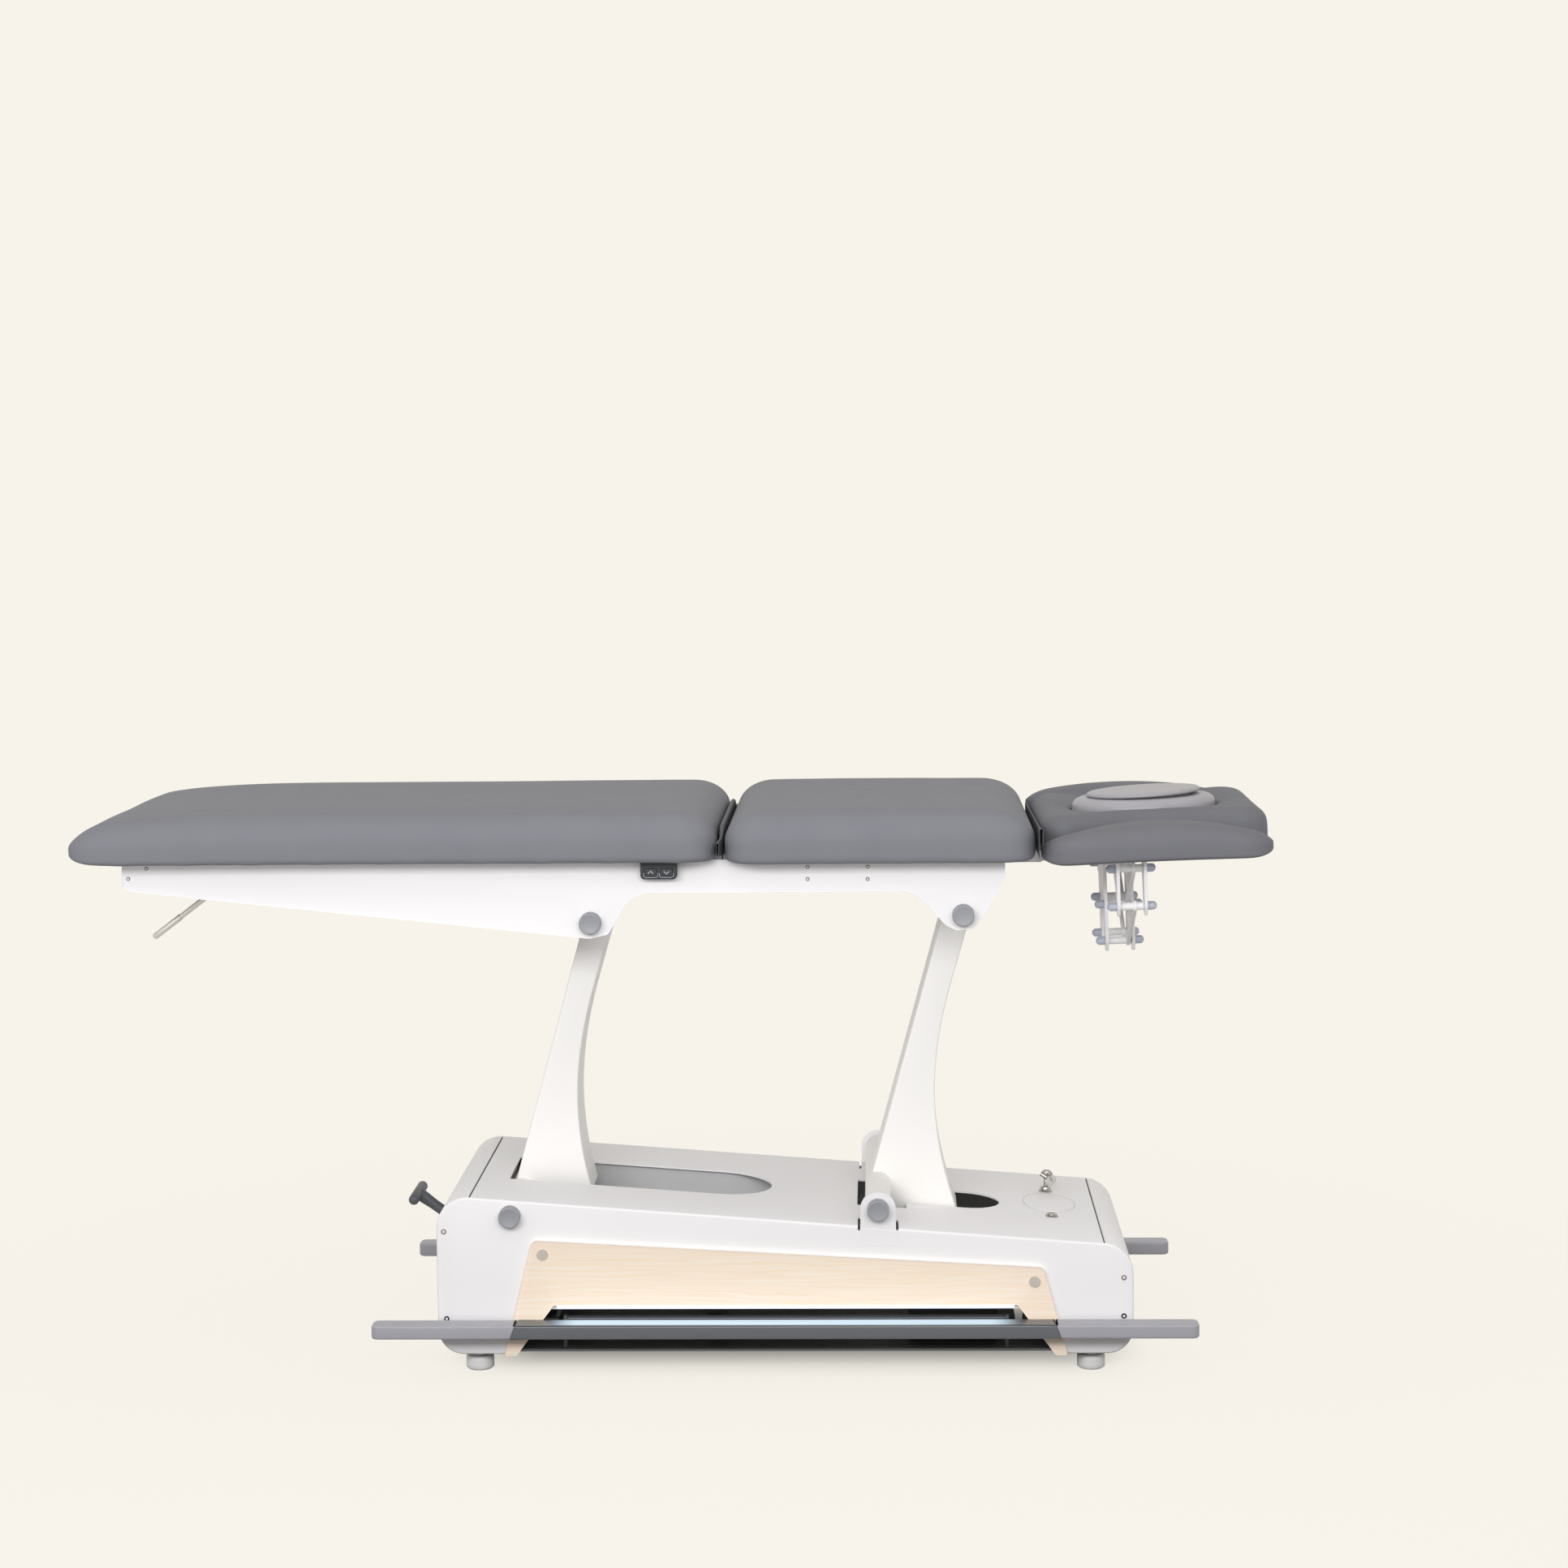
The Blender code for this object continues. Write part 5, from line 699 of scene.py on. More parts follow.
# Lift arms: two parallel welded box arms with a straight back and a flared front, white powder
# coat, each turning on a hub tube between the base's ears and between the side plates.
arm_coat = powder_coat("warm_white_coat", (0.905, 0.885, 0.855), (0.930, 0.910, 0.88), 0.38,
                       3.5, 40, (850, 0.00004), 0.45)
lean, arm_length, arm_half, hub_radius = radians(16.16), 0.5317, 0.06, 0.0225
foot_pivot, head_pivot = np.array((-0.2857, 0.2815)), np.array((ear_x, ear_z))


def leaning(points, pivot):
    """(across, along) points of an arm, turned by its lean and set on its lower pivot."""
    across, along = np.asarray(points, float).T
    return pivot + np.stack([along * sin(lean) + across * cos(lean),
                             along * cos(lean) - across * sin(lean)], 1)


foot_top, head_top = (leaning([(0, arm_length)], pivot)[0] for pivot in (foot_pivot, head_pivot))
foot_heel = [(0.026, -0.010), (-0.0150, -0.005)]
head_heel = [(0.100, -0.022), (0.050, -0.034), (0.0, -0.040), (-0.0150, -0.030)]
for name, pivot, top, root, heel in (("foot_arm", foot_pivot, foot_top, 0.035, foot_heel),
                                     ("head_arm", head_pivot, head_top, -0.008, head_heel)):
    along = np.linspace(arm_length, root, 90)
    flare = np.clip((0.40 - along) / 0.40, 0, None) ** 2.4
    front = np.stack([0.026 + 0.117 * flare, along], 1)
    back = [(-0.0150, 0.0), (-0.0225, arm_length)]
    shapes = [slab(leaning(np.concatenate([front, heel, back]), pivot), -arm_half, arm_half, "XZ", 0.003)]
    for centre, half in ((pivot, 0.2524), (top, 0.2584)):
        hub = [(half, hub_radius - 0.0012), (half - 0.0012, hub_radius)]
        shapes.append(lathe(mirrored(hub), centre, "Y", 64))
    if name == "head_arm":
        swing = radians(31) + lean
        tip = 0.15 * np.array((sin(swing), -cos(swing)))
        across = np.array((cos(swing), sin(swing)))
        tail = [across * 0.016, tip + across * 0.012, tip * 1.09, tip - across * 0.012, across * -0.016]
        shapes.append(slab(leaning(tail, pivot), -0.008, 0.008, "XZ", 0.001))
        shapes.append(lathe([(-0.02, 0.006), (0.02, 0.006)], leaning([tip], pivot)[0], "Y", 24))
    fitted(f"{name}_shell", joined(*shapes), arm_coat, name, name)


# Pivot pins: a steel pin through each hub tube, closed at both ends by a pressed-on grey moulded
# cap with a rounded rim and a plain, slightly dished face.
cap_grey = moulded("cap_grey", (0.29, 0.295, 0.32), (0.33, 0.335, 0.36), 0.42)
plate_in, plate_out = 0.259, 0.264
cap_long, cap_round, cap_flat = 0.0188, 0.0022, 0.0164
for name, centre, face, body in (("foot_arm_lower", foot_pivot, side_out, "base"),
                                 ("head_arm_lower", head_pivot, side_out, "base"),
                                 ("foot_arm_upper", foot_top, plate_out, "top_frame"),
                                 ("head_arm_upper", head_top, plate_out, "top_frame")):
    rim, turn = face + cap_long, np.linspace(0, pi / 2, 6)
    half = [(rim - 0.0006, 0.0006), (rim - 0.0006, 0.0140), (rim, 0.0152)]
    half += [(rim - cap_round * (1 - cos(a)), cap_flat + cap_round * sin(a)) for a in turn]
    half += [(face + fit, cap_flat + cap_round), (face + fit, 0.012)]
    fitted(f"{name}_caps", lathe(mirrored(half), centre, "Y", 72), cap_grey, body, f"{name}_pin")


# Lock-out on the base top: a chromed key switch with its key, a ring and the spare key, an oval
# cover over the service opening, and a second small lock. All stand square on the sloping top.
top_slope = np.arctan2(base_fall, base_run)
chrome = plain_metal("bright_chrome", (0.44, 0.425, 0.41), 0.24)
cover_spot, lock_spot, spare_spot = (0.656, 0.018), (0.655, 0.115), (0.656, -0.082)


def on_top(shape, spot):
    """A shape made upright round the origin, set square on the sloping top sheet at an (x, y) spot."""
    across, deep, up = np.asarray(shape[0]).reshape(-1, 3).T
    return np.stack([spot[0] + across * cos(top_slope) + up * sin(top_slope), spot[1] + deep,
                     top_at(spot[0]) - across * sin(top_slope) + up * cos(top_slope)], 1), shape[1]


def oval(half_u, half_v, centre=(0, 0), count=96):
    """Ellipse in the plan."""
    angle = circle(count)
    return np.array(centre) + np.stack([half_u * np.cos(angle), half_v * np.sin(angle)], 1)


def layered(rows):
    """(plan, height) pairs as rows of points, one closed ring at each height."""
    return np.stack([np.concatenate([plan, np.full((len(plan), 1), up)], 1) for plan, up in rows])


fitted("oval_cover", on_top(slab(oval(0.0475, 0.068), fit, 0.002, "XY", 0.0007), cover_spot), white_coat,
       "base", "service_cover")
# A thin grey ring on top of the cover's rim: painted shade that outlines the cover's raised edge.
edge_shade_steps = ((0, 0.0019), (0.0007, 0.0019), (0.0007, 0.0021), (0, 0.0021))
edge_shade_rings = layered([(oval(0.0462 + wide, 0.0667 + wide), up) for wide, up in edge_shade_steps])
trim("oval_edge_shade", on_top((edge_shade_rings, grid_faces(4, 96, True, True)), cover_spot), grey_coat,
     "base")
barrel = [(fit, 0.0125), (0.0014, 0.0125), (0.002, 0.0120), (0.0024, 0.0100), (0.003, 0.0095),
          (0.0080, 0.0091), (0.0088, 0.0086), (0.009, 0.0078), (0.009, 0.0050)]
fitted("lock_barrel", on_top(lathe(barrel, (0, 0), "Z"), lock_spot), chrome, "base", "key_switch")
spare_barrel = [(0.0001, 0.0115), (0.0016, 0.0115), (0.0022, 0.0108), (0.0028, 0.0088), (0.0050, 0.0084),
                (0.0056, 0.0076), (0.0056, 0.004)]
keyhole = slab(corners(-0.0045, 0.0045, -0.0011, 0.0011), 0.002, 0.02, "XY")
spare_lock = carved("spare_lock", on_top(lathe(spare_barrel, (0, 0), "Z"), spare_spot),
                    [on_top(keyhole, spare_spot)], chrome)
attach(spare_lock, "base")


def key_blank():
    """A tubular key standing on z = 0: a round shank, and a flat rounded bow with an eye."""
    right = [(0.0035, 0.010, 0.0005), (0.0040, 0.0152, 0.002), (0.0108, 0.0180, 0.005),
             (0.0108, 0.0307, 0.009)]
    left = [(-u, v, radius) for u, v, radius in right]
    bow = rounded([left[0], *right, *left[:0:-1]])
    centre = np.array((0, 0.0252))
    bow = bow[np.argsort(np.arctan2(*(bow - centre).T[::-1]))]
    facing = np.arctan2(bow[:, 1] - centre[1], bow[:, 0])
    eye = centre + 0.0029 * np.stack([np.cos(facing), np.sin(facing)], 1)
    rim = bow * (0.97, 1)
    rows = ((eye, -0.0012), (rim, -0.0012), (bow, -0.0007), (bow, 0.0007), (rim, 0.0012), (eye, 0.0012))
    flat = layered(rows)[..., [0, 2, 1]], grid_faces(6, len(bow), True, True)
    shank = lathe([(0.0, 0.0036), (0.0006, 0.0041), (0.0125, 0.0041), (0.0145, 0.0030)], (0, 0), "Z", 32)
    return joined(flat, shank)


def ring_of(radius, wire, count=64, facets=12):
    """A wire ring in the XZ plane round the origin."""
    turn, spin = np.meshgrid(circle(count), circle(facets), indexing="ij")
    reach = radius + wire * np.cos(spin)
    points = np.stack([reach * np.cos(turn), wire * np.sin(spin), reach * np.sin(turn)], -1)
    return points.reshape(-1, 3), grid_faces(count, facets, True, True)


def placed(shape, turns, move):
    """A shape turned about X, Y and Z in that order, in degrees, then moved."""
    points = np.asarray(shape[0]).reshape(-1, 3)
    for name, angle in zip("XYZ", turns):
        points = points @ np.array(Matrix.Rotation(radians(angle), 3, name)).T
    return points + move, shape[1]


standing = placed(key_blank(), (0, 0, 0), (0, 0, 0.0093))
wire = placed(ring_of(0.0105, 0.0006), (90, 52, 0), (0.0064, 0, 0.0262))
spare = placed(key_blank(), (18, 118, 0), (-0.0105, 0.0005, 0.0315))
fitted("lock_key", on_top(standing, lock_spot), chrome, "key", "key")
trim("key_ring", on_top(joined(wire, spare), lock_spot), chrome, "key")


# Cable in the head slot: the drive's and switches' leads in one black corrugated hose, which
# climbs from the control box over the drive and goes back down on the other side.
hose_black = moulded("hose_black", (0.080, 0.080, 0.084), (0.110, 0.110, 0.115), 0.36)
hose_bend = 0.5 + 0.041 * np.array((0, 0, 0.3, 0.73, 1, 0.78, 0.25, 0, 0))
hose_across = np.array((-0.155, -0.155, -0.120, -0.0496, 0.0203, 0.0899, 0.1349, 0.145, 0.145))
hose_height = np.array((0.1168, 0.1368, 0.1783, 0.2123, 0.2123, 0.1763, 0.110, 0.068, 0.0468))
hose_steps, hose_radius, hose_rib = 480, 0.0074, 0.0007


def through(knots, count):
    """A smooth path through points: Catmull-Rom cubics between each pair of neighbours."""
    padded = np.concatenate([2 * knots[:1] - knots[1:2], knots, 2 * knots[-1:] - knots[-2:-1]])
    place = np.linspace(0, len(knots) - 1, count)
    first = np.minimum(place.astype(int), len(knots) - 2)
    part = (place - first)[:, None]
    a, b, c, d = (padded[first + step] for step in range(4))
    return b + part / 2 * (c - a + part * (2 * a - 5 * b + 4 * c - d + part * (3 * (b - c) + d - a)))


hose_path = through(np.stack([hose_bend, hose_across, hose_height], 1), hose_steps)
ripple = hose_radius + hose_rib * np.sin(2 * pi * np.arange(hose_steps) / 4)
fitted("ribbed_hose", along_path(hose_path, ripple, 18), hose_black, "base", "cable_loom", 60)


# Top frame: a laser-cut white plate on each long side, with a lobe round each arm pivot, joined by a
# cross beam and the frame under the fixed section. Pairs of socket screws hold each plate on.
plate_foot, plate_head, plate_high, plate_waist = -0.939, 0.568, 0.899, 0.8425
(foot_x, foot_z), (head_x, head_z) = foot_top, head_top
plate_rim = rounded([(plate_foot, plate_high, 0.0012), (plate_foot, 0.850, 0.016),
                     (foot_x - 0.002, foot_z - 0.028, 0.03), (foot_x + 0.030, foot_z - 0.021, 0.012),
                     (foot_x + 0.070, plate_waist, 0.055), (head_x - 0.082, plate_waist, 0.055),
                     (head_x - 0.030, head_z - 0.018, 0.02), (head_x - 0.012, head_z - 0.027, 0.012),
                     (head_x + 0.018, head_z - 0.025, 0.018), (head_x + 0.038, head_z + 0.004, 0.02),
                     (plate_head, 0.864, 0.02), (plate_head, plate_high, 0.0012)], 14)
for name, side in sides:
    fitted(f"frame_plate_{name}", slab(plate_rim, side * plate_in, side * plate_out, "XZ", 0.0008, 3),
           white_coat, "top_frame", f"side_plate_{name}")
plate_screws = [(-0.8972, 0.8890), (-0.9285, 0.8717), (0.2331, 0.8855), (0.2331, 0.8649),
                (0.3351, 0.8852), (0.3350, 0.8643)]
side_screws("plate_screws", plate_screws, plate_out, 0.0034, 0.0014, zinc, "top_frame")
dress(white_coat, "foot_cross_beam", "mid_frame", "leg_frame")


# Hand switch: a small charcoal box clipped under the pad on the near plate, with an up and a down
# key in two wells. Pale printed lines frame the keys, and each key has a raised chevron.
charcoal = moulded("charcoal_plastic", (0.026, 0.029, 0.036), (0.036, 0.039, 0.047), 0.46)
print_white = moulded("pale_print", (0.60, 0.62, 0.66), (0.66, 0.68, 0.72), 0.5)
switch_back, switch_front, key_front, key_z = -0.2643, -0.2843, -0.2858, 0.880
keys = (("up", -0.0325, 1), ("down", -0.0055, -1))
switch_rim = rounded_box(-0.050, 0.012, 0.868, 0.898, (0.007, 0.007, 0.002, 0.002), 12)
wells = [slab(rounded_box(x - 0.011, x + 0.011, 0.873, 0.887, 0.0012, 5),
              switch_front - 0.01, switch_front + 0.005, "XZ") for _, x, _ in keys]
switch = carved("switch_box", slab(switch_rim, switch_front, switch_back, "XZ", 0.0016), wells, charcoal)
stands_for(switch, "top_frame", "hand_switch")


def squared(wave, power):
    """A wave with its sign kept and its size raised to a power: below 1 it makes a round squarer."""
    return np.sign(wave) * np.abs(wave) ** power


def stroke(path, width, low, high):
    """A thin raised line: a path widened to both sides in the front plane."""
    path = np.asarray(path, float)
    along = np.gradient(path, axis=0)
    along = along / np.linalg.norm(along, axis=1)[:, None]
    off = np.stack([-along[:, 1], along[:, 0]], 1) * width / 2
    return slab(np.concatenate([path + off, (path - off)[::-1]]), low, high, "XZ")


frames = []
bend = np.linspace(pi, 2 * pi, 25)
for _, x, _ in keys:
    path = np.stack([x + 0.0118 * squared(np.cos(bend), 0.35),
                     key_z - 0.001 + 0.0075 * squared(np.sin(bend), 0.35)], 1)
    frames.append(stroke(path, 0.0006, switch_front - 0.0002, switch_front + 0.0002))
trim("switch_lines", joined(*frames), print_white, "top_frame")
chevron = np.array([(-0.0045, -0.0018), (0, 0.0024), (0.0045, -0.0018)])
for name, x, way in keys:
    rim = rounded_box(x - 0.0105, x + 0.0105, 0.8735, 0.8865, 0.0012, 6)
    fitted(f"{name}_key", slab(rim, key_front, switch_front + 0.0035, "XZ", 0.0008), charcoal,
           f"{name}_button", f"{name}_button")
    mark = stroke((x, key_z) + chevron * (1, way), 0.0012, key_front - 0.0002, key_front + 0.0003)
    trim(f"{name}_chevron", mark, print_white, f"{name}_button")


# Release lever: a sloping round steel rod under the foot end that frees the leg section, with a
# thin sleeve shrunk on its tip and an eye welded on at its pivot.
lever_slope, lever_root = radians(37), np.array((-0.778, 0, 0.860))
lever_way = np.array((-cos(lever_slope), 0, -sin(lever_slope)))
rod = along_path(lever_root + np.outer((0.004, 0.08, 0.150), lever_way), 0.005)
sleeve = along_path(lever_root + np.outer((0.1495, 0.150, 0.1515, 0.2085, 0.2115, 0.2130), lever_way),
                    (0.0042, 0.0052, 0.0058, 0.0058, 0.0050, 0.0030))
eye = lathe(mirrored([(0.012, 0.0082), (0.0112, 0.009)]), (lever_root[0], lever_root[2]), "Y", 40)
satin = plain_metal("satin_steel", (0.64, 0.62, 0.61), 0.45)
fitted("lever_rod", joined(rod, sleeve, eye), satin, "release_lever", "release_lever", 40)


# Leg and middle pads: firm foam on a board, covered tightly in grey vinyl that is stapled under the
# board. The edges are rolled, and the foam presses the cover out a little between them.
def covering(name, dark, pale):
    """Vinyl cloth: a little mottled, dull, with a fine leather grain of small cells."""
    cloth, shader, place = blank(name)
    cells = place.node("ShaderNodeTexVoronoi", {"feature": "DISTANCE_TO_EDGE"},
                       {"Vector": place, "Scale": 620.0})
    grain = cells.band(0.02, 0.22)
    feed(shader, Base_Color=place.noise(14, 4).tint(dark, pale),
         Roughness=0.56 + 0.10 * place.noise(45, 3) - 0.05 * grain, Specular_IOR_level=0.10,
         Normal=(grain + 0.5 * place.noise(1500, 2)).bumped(0.00005, 0.5))
    return cloth


vinyl = covering("grey_vinyl", (0.196, 0.200, 0.222), (0.217, 0.220, 0.241))


def pad_box(low, high, rolls, under, size):
    """Closed quads round a box with rolled edges: lines run evenly over the flat part and at even
    angles over each roll, and a point is the flat core's corner plus the roll times its direction.
    Below the side walls the rolls shrink to the smaller radius of the lower edge."""
    lines = []
    for start, end, (first, last) in zip(low, high, rolls):
        parts = [max(2, round(0.8 * roll / size)) for roll in (first, last)]
        flat = np.linspace(start + first, end - last,
                           max(2, round((end - last - start - first) / size)) + 1)
        before, after = (np.tan(np.linspace(pi / 4, 0, count + 1))[:-1] for count in parts)
        lines.append((np.concatenate([np.full(parts[0], flat[0]), flat, np.full(parts[1], flat[-1])]),
                      np.concatenate([-before, 0 * flat, after[::-1]]),
                      np.concatenate([0 * before + first, 0 * flat, 0 * after + last])))
    shapes = []
    for axis in range(3):
        u, v = [other for other in range(3) if other != axis]
        picks = np.meshgrid(np.arange(len(lines[u][0])), np.arange(len(lines[v][0])), indexing="ij")
        for end in (0, -1):
            spread = [None] * 3
            spread[u], spread[v], spread[axis] = *picks, np.full_like(picks[0], end)
            core, way, radius = (np.stack([lines[a][part][spread[a]] for a in range(3)], -1)
                                 for part in range(3))
            way = way / np.linalg.norm(way, axis=-1, keepdims=True)
            points = core + way * radius
            level = np.linalg.norm(way[..., :2], axis=-1, keepdims=True)
            outwards = way[..., :2] / np.maximum(level, 1e-9)
            wall = core[..., :2] + outwards * (radius[..., :2] - under * (1 - level))
            points[..., :2] = np.where((way[..., 2:] < 0) & (level > 1e-6), wall, points[..., :2])
            shapes.append((points, grid_faces(*picks[0].shape)))
    return joined(*shapes)


pressure, blow_frames, evenings = 4, 20, 60


def swelled(piece, cap, glued):
    """The cover under the foam's pressure: Blender's cloth blown up from the mesh, its glued points
    fixed. The moves are evened out among neighbours, as a tight cover does, and limited to the cap."""
    mesh, scene = piece.data, bpy.context.scene
    rest = np.zeros(len(mesh.vertices) * 3)
    mesh.vertices.foreach_get("co", rest)
    held = piece.vertex_groups.new(name="glued")
    held.add(np.flatnonzero(glued(rest.reshape(-1, 3))).tolist(), 1.0, "REPLACE")
    cover = piece.modifiers.new("cover", "CLOTH")
    cover.settings.use_pressure = True
    cover.settings.uniform_pressure_force = pressure
    cover.settings.vertex_group_mass = "glued"
    cover.settings.effector_weights.gravity = 0
    cover.point_cache.frame_start, cover.point_cache.frame_end = 1, blow_frames
    for step in range(1, blow_frames + 1):
        scene.frame_set(step)
    blown = np.zeros_like(rest)
    shown = piece.evaluated_get(bpy.context.evaluated_depsgraph_get()).data
    shown.vertices.foreach_get("co", blown)
    move = (blown - rest).reshape(-1, 3)
    pairs = np.zeros(len(mesh.edges) * 2, np.int32)
    mesh.edges.foreach_get("vertices", pairs)
    pairs = pairs.reshape(-1, 2)
    here, there = np.concatenate([pairs, pairs[:, ::-1]]).T
    count = np.bincount(here, minlength=len(move))[:, None]
    for _ in range(evenings):
        around = np.stack([np.bincount(here, move[there, axis], len(move)) for axis in range(3)], 1)
        move = (move + around / count) / 2
    far = np.maximum(np.linalg.norm(move, axis=1, keepdims=True), 1e-9)
    move = move * cap * np.tanh(far / cap) / far
    piece.modifiers.remove(cover)
    piece.vertex_groups.clear()
    scene.frame_set(1)
    mesh.vertices.foreach_set("co", rest + move.ravel())
    mesh.update()
    finer = piece.modifiers.new("finer", "SUBSURF")
    finer.levels = finer.render_levels = 1
    return piece


pad_low, pad_high, pad_half = 0.9005, 0.985, 0.3320
swell = 0.0025


def nosed(points, start):
    """The foot end drawn down: heights over the board shrink by a share that dies away along the pad,
    and the lower edge curls up at the very end."""
    off = np.clip(points[:, 0] - start, 0, None)
    rise = (points[:, 2] - pad_low) * (1 - 0.36 * np.exp(-off / 0.09))
    points[:, 2] = pad_low + rise + 0.012 * np.exp(-off / 0.02) * np.clip(1 - rise / 0.045, 0, 1)
    return points


def puckered(points):
    """The lower rim gathered between staples: a ripple of two sines along it that dies away upwards."""
    x, y, z = points.T
    ripple = np.clip(np.sin(83 * x + 57 * y) * np.sin(31 * x - 44 * y), 0, 1)
    points[:, 2] -= 0.0016 * ripple * np.exp(-np.abs(z - pad_low - 0.004) / 0.005)
    return points


for name, body, start, end, rolls, size in (
        ("leg", "leg_section", -1.0300, 0.0830, (0.060, 0.066), 0.010),
        ("mid", "top_frame", 0.0896, 0.6230, (0.066, 0.072), 0.008)):
    low = np.array((start + swell * 0.3, swell - pad_half, pad_low))
    high = np.array((end - swell * 0.4, pad_half - swell, pad_high - swell * 0.4))
    points, faces = pad_box(low, high, (rolls, (0.054, 0.054), (0.011, 0.050)), 0.013, size)
    if name == "leg":
        points = nosed(points, start)
    else:
        outer = np.clip((np.abs(points[:, 1]) - 0.275) / 0.035, 0, 1)
        points[:, 2] -= 0.0010 + 0.0028 * outer * np.clip((0.935 - points[:, 2]) / 0.03, 0, 1)
    points = puckered(points)
    share = np.clip((points[:, 0] - start) / (end - start), 0, 1)
    points[:, 1] *= 1 - 0.0045 / pad_half * np.sin(pi * share) ** 0.6
    pad = link(f"{name}_cushion", points, faces, vinyl, 60)
    stands_for(swelled(pad, 0.003, lambda spots: spots[:, 2] < pad_low + 0.006), body, f"{name}_pad")


# Head pad: a shaped cushion with a waist beside each armrest and an oval opening for the face,
# covered in the same vinyl, on a hinged frame that slopes up a little towards the head end. Here and
# on the armrests the vinyl is drawn as a darker copy: painted shade.
# Painted shade: the grey vinyl made darker for the head pad and the armrests.
vinyl_painted_shade = covering("vinyl_painted_shade", (0.158, 0.160, 0.175), (0.175, 0.177, 0.192))
head_hinge, head_tilt = np.array((0.6255, 0.880)), radians(2.1)
face_u, face_long, face_wide = 0.201, 0.127, 0.108
head_low, head_high, head_start, head_long = 0.0165, 0.0825, 0.0040, 0.4000


def head_at(shape):
    """A shape given along, across and square to the head section, put in its place at rest."""
    along, across, up = np.asarray(shape[0]).reshape(-1, 3).T
    return np.stack([head_hinge[0] + along * cos(head_tilt) - up * sin(head_tilt), across,
                     head_hinge[1] + along * sin(head_tilt) + up * cos(head_tilt)], 1), shape[1]


def seam(share):
    """Half width of the head pad along its length: wide at both ends, with a waist between."""
    waist, full = 0.164, np.where(share < 0.5, 0.232, 0.222)
    return waist + (full - waist) * (1 + np.cos(2 * pi * share)) / 2


def end_draw(x, low, high, low_radius, high_radius):
    """How far a rounded corner at either end of a side draws the side in at x."""
    draws = []
    for gap, radius in ((x - low, low_radius), (high - x, high_radius)):
        inner = np.clip(radius - gap, 0, radius)
        draws.append(radius - np.sqrt(radius ** 2 - inner ** 2))
    return draws[0] + draws[1]


def even(path, count):
    """A closed outline resampled at even steps of its length."""
    closed = np.concatenate([path, path[:1]])
    run = np.concatenate([[0], np.cumsum(np.linalg.norm(np.diff(closed, axis=0), axis=1))])
    at = np.linspace(0, run[-1], count + 1)[:-1]
    return np.stack([np.interp(at, run, closed[:, i]) for i in range(2)], 1)


def eased(count):
    """Shares from 0 to 1 that lie closer together at both ends."""
    return (1 - np.cos(pi * np.linspace(0, 1, count))) / 2


share = eased(161)
along = head_start + head_long * share
half = seam(share) - end_draw(along, head_start, head_start + head_long, 0.065, 0.08)
rim = even(np.concatenate([np.stack([along, -half], 1), np.stack([along, half], 1)[::-1]]), 240)
rim = inset(rim, swell)
bearing = np.arctan2(rim[:, 1] / face_wide, (rim[:, 0] - face_u) / face_long)


def mouth(gap):
    """The face opening widened by a gap, at the bearings of the rim's points."""
    return np.stack([face_u + (face_long + gap) * np.cos(bearing), (face_wide + gap) * np.sin(bearing)], 1)


slack, roll, lip, sink, crest = 0.001, 0.030, 0.012, 0.0075, head_high - swell
turn = np.linspace(0, pi / 2, 9)
wall, inner, outer = mouth(slack), mouth(slack + lip), inset(rim, roll)
rows = [(wall + (rim - wall) * k, head_low) for k in np.linspace(0, 0.97, 9)]
rows += [(rim, head_low + 0.004), (rim, head_low + 0.014), (rim, crest - roll - 0.004)]
rows += [(inset(rim, roll * (1 - cos(a))), crest - roll + roll * sin(a)) for a in turn[1:]]
rows += [(outer + (inner - outer) * k, crest - sink * (3 * k ** 2 - 2 * k ** 3))
         for k in np.linspace(0, 1, 14)[1:]]
rows += [(mouth(slack + lip * (1 - sin(a))), crest - sink - lip + lip * cos(a)) for a in turn[1::2]]
rows += [(wall, up) for up in np.linspace(crest - sink - lip - 0.006, head_low + 0.006, 4)]
loops = layered(rows), grid_faces(len(rows), len(rim), True, True)
pad = link("head_cushion", *head_at(loops), vinyl_painted_shade, 60)


def off_head(spots):
    """Distances of points along the head section from its hinge, and square to it."""
    x, z = spots[:, 0] - head_hinge[0], spots[:, 2] - head_hinge[1]
    return x * cos(head_tilt) + z * sin(head_tilt), z * cos(head_tilt) - x * sin(head_tilt)


def near_mouth(spots):
    """Points on the underside or on the wall of the face opening."""
    along, up = off_head(spots)
    ahead, aside = (along - face_u) / (face_long + 0.003), spots[:, 1] / (face_wide + 0.003)
    return (up < head_low + 0.003) | (ahead ** 2 + aside ** 2 < 1)


stands_for(swelled(pad, 0.002, near_mouth), "head_section", "head_pad")


# Armrest pads: two curved cushions beside the head pad, thick in the middle with thin rounded
# noses, each on a hanging bracket so that it can be lowered. The far one rests higher.
rest_start, rest_end, rest_out = head_start - 0.002, head_start + head_long - 0.007, 0.3315
link_u, link_half = 0.1613, 0.022
share = eased(79)
along = rest_start + swell * 0.5 + (rest_end - rest_start - swell) * share
outside = rest_out - swell - end_draw(along, rest_start, rest_end, 0.06, 0.06)
inside = seam(share) + 0.018 + swell + end_draw(along, rest_start, rest_end, 0.03, 0.03)
to_end = np.minimum(along - rest_start, rest_end - along)
nose = np.sqrt(1 - np.clip(1 - to_end / 0.042, 0, 1) ** 2)
droop = np.clip((share - 0.66) / 0.34, 0, 1) ** 2
belly = 0.60 + 0.40 * np.sin(pi * share) ** 0.8
thick = (0.0655 * belly * (0.26 + 0.74 * nose) * (1 - 0.10 * droop) - swell)[:, None]
angle = circle(56)
flat = squared(np.cos(angle), 0.62)
rise = np.where(np.sin(angle) > 0, squared(np.sin(angle), 0.72), squared(np.sin(angle), 0.25))
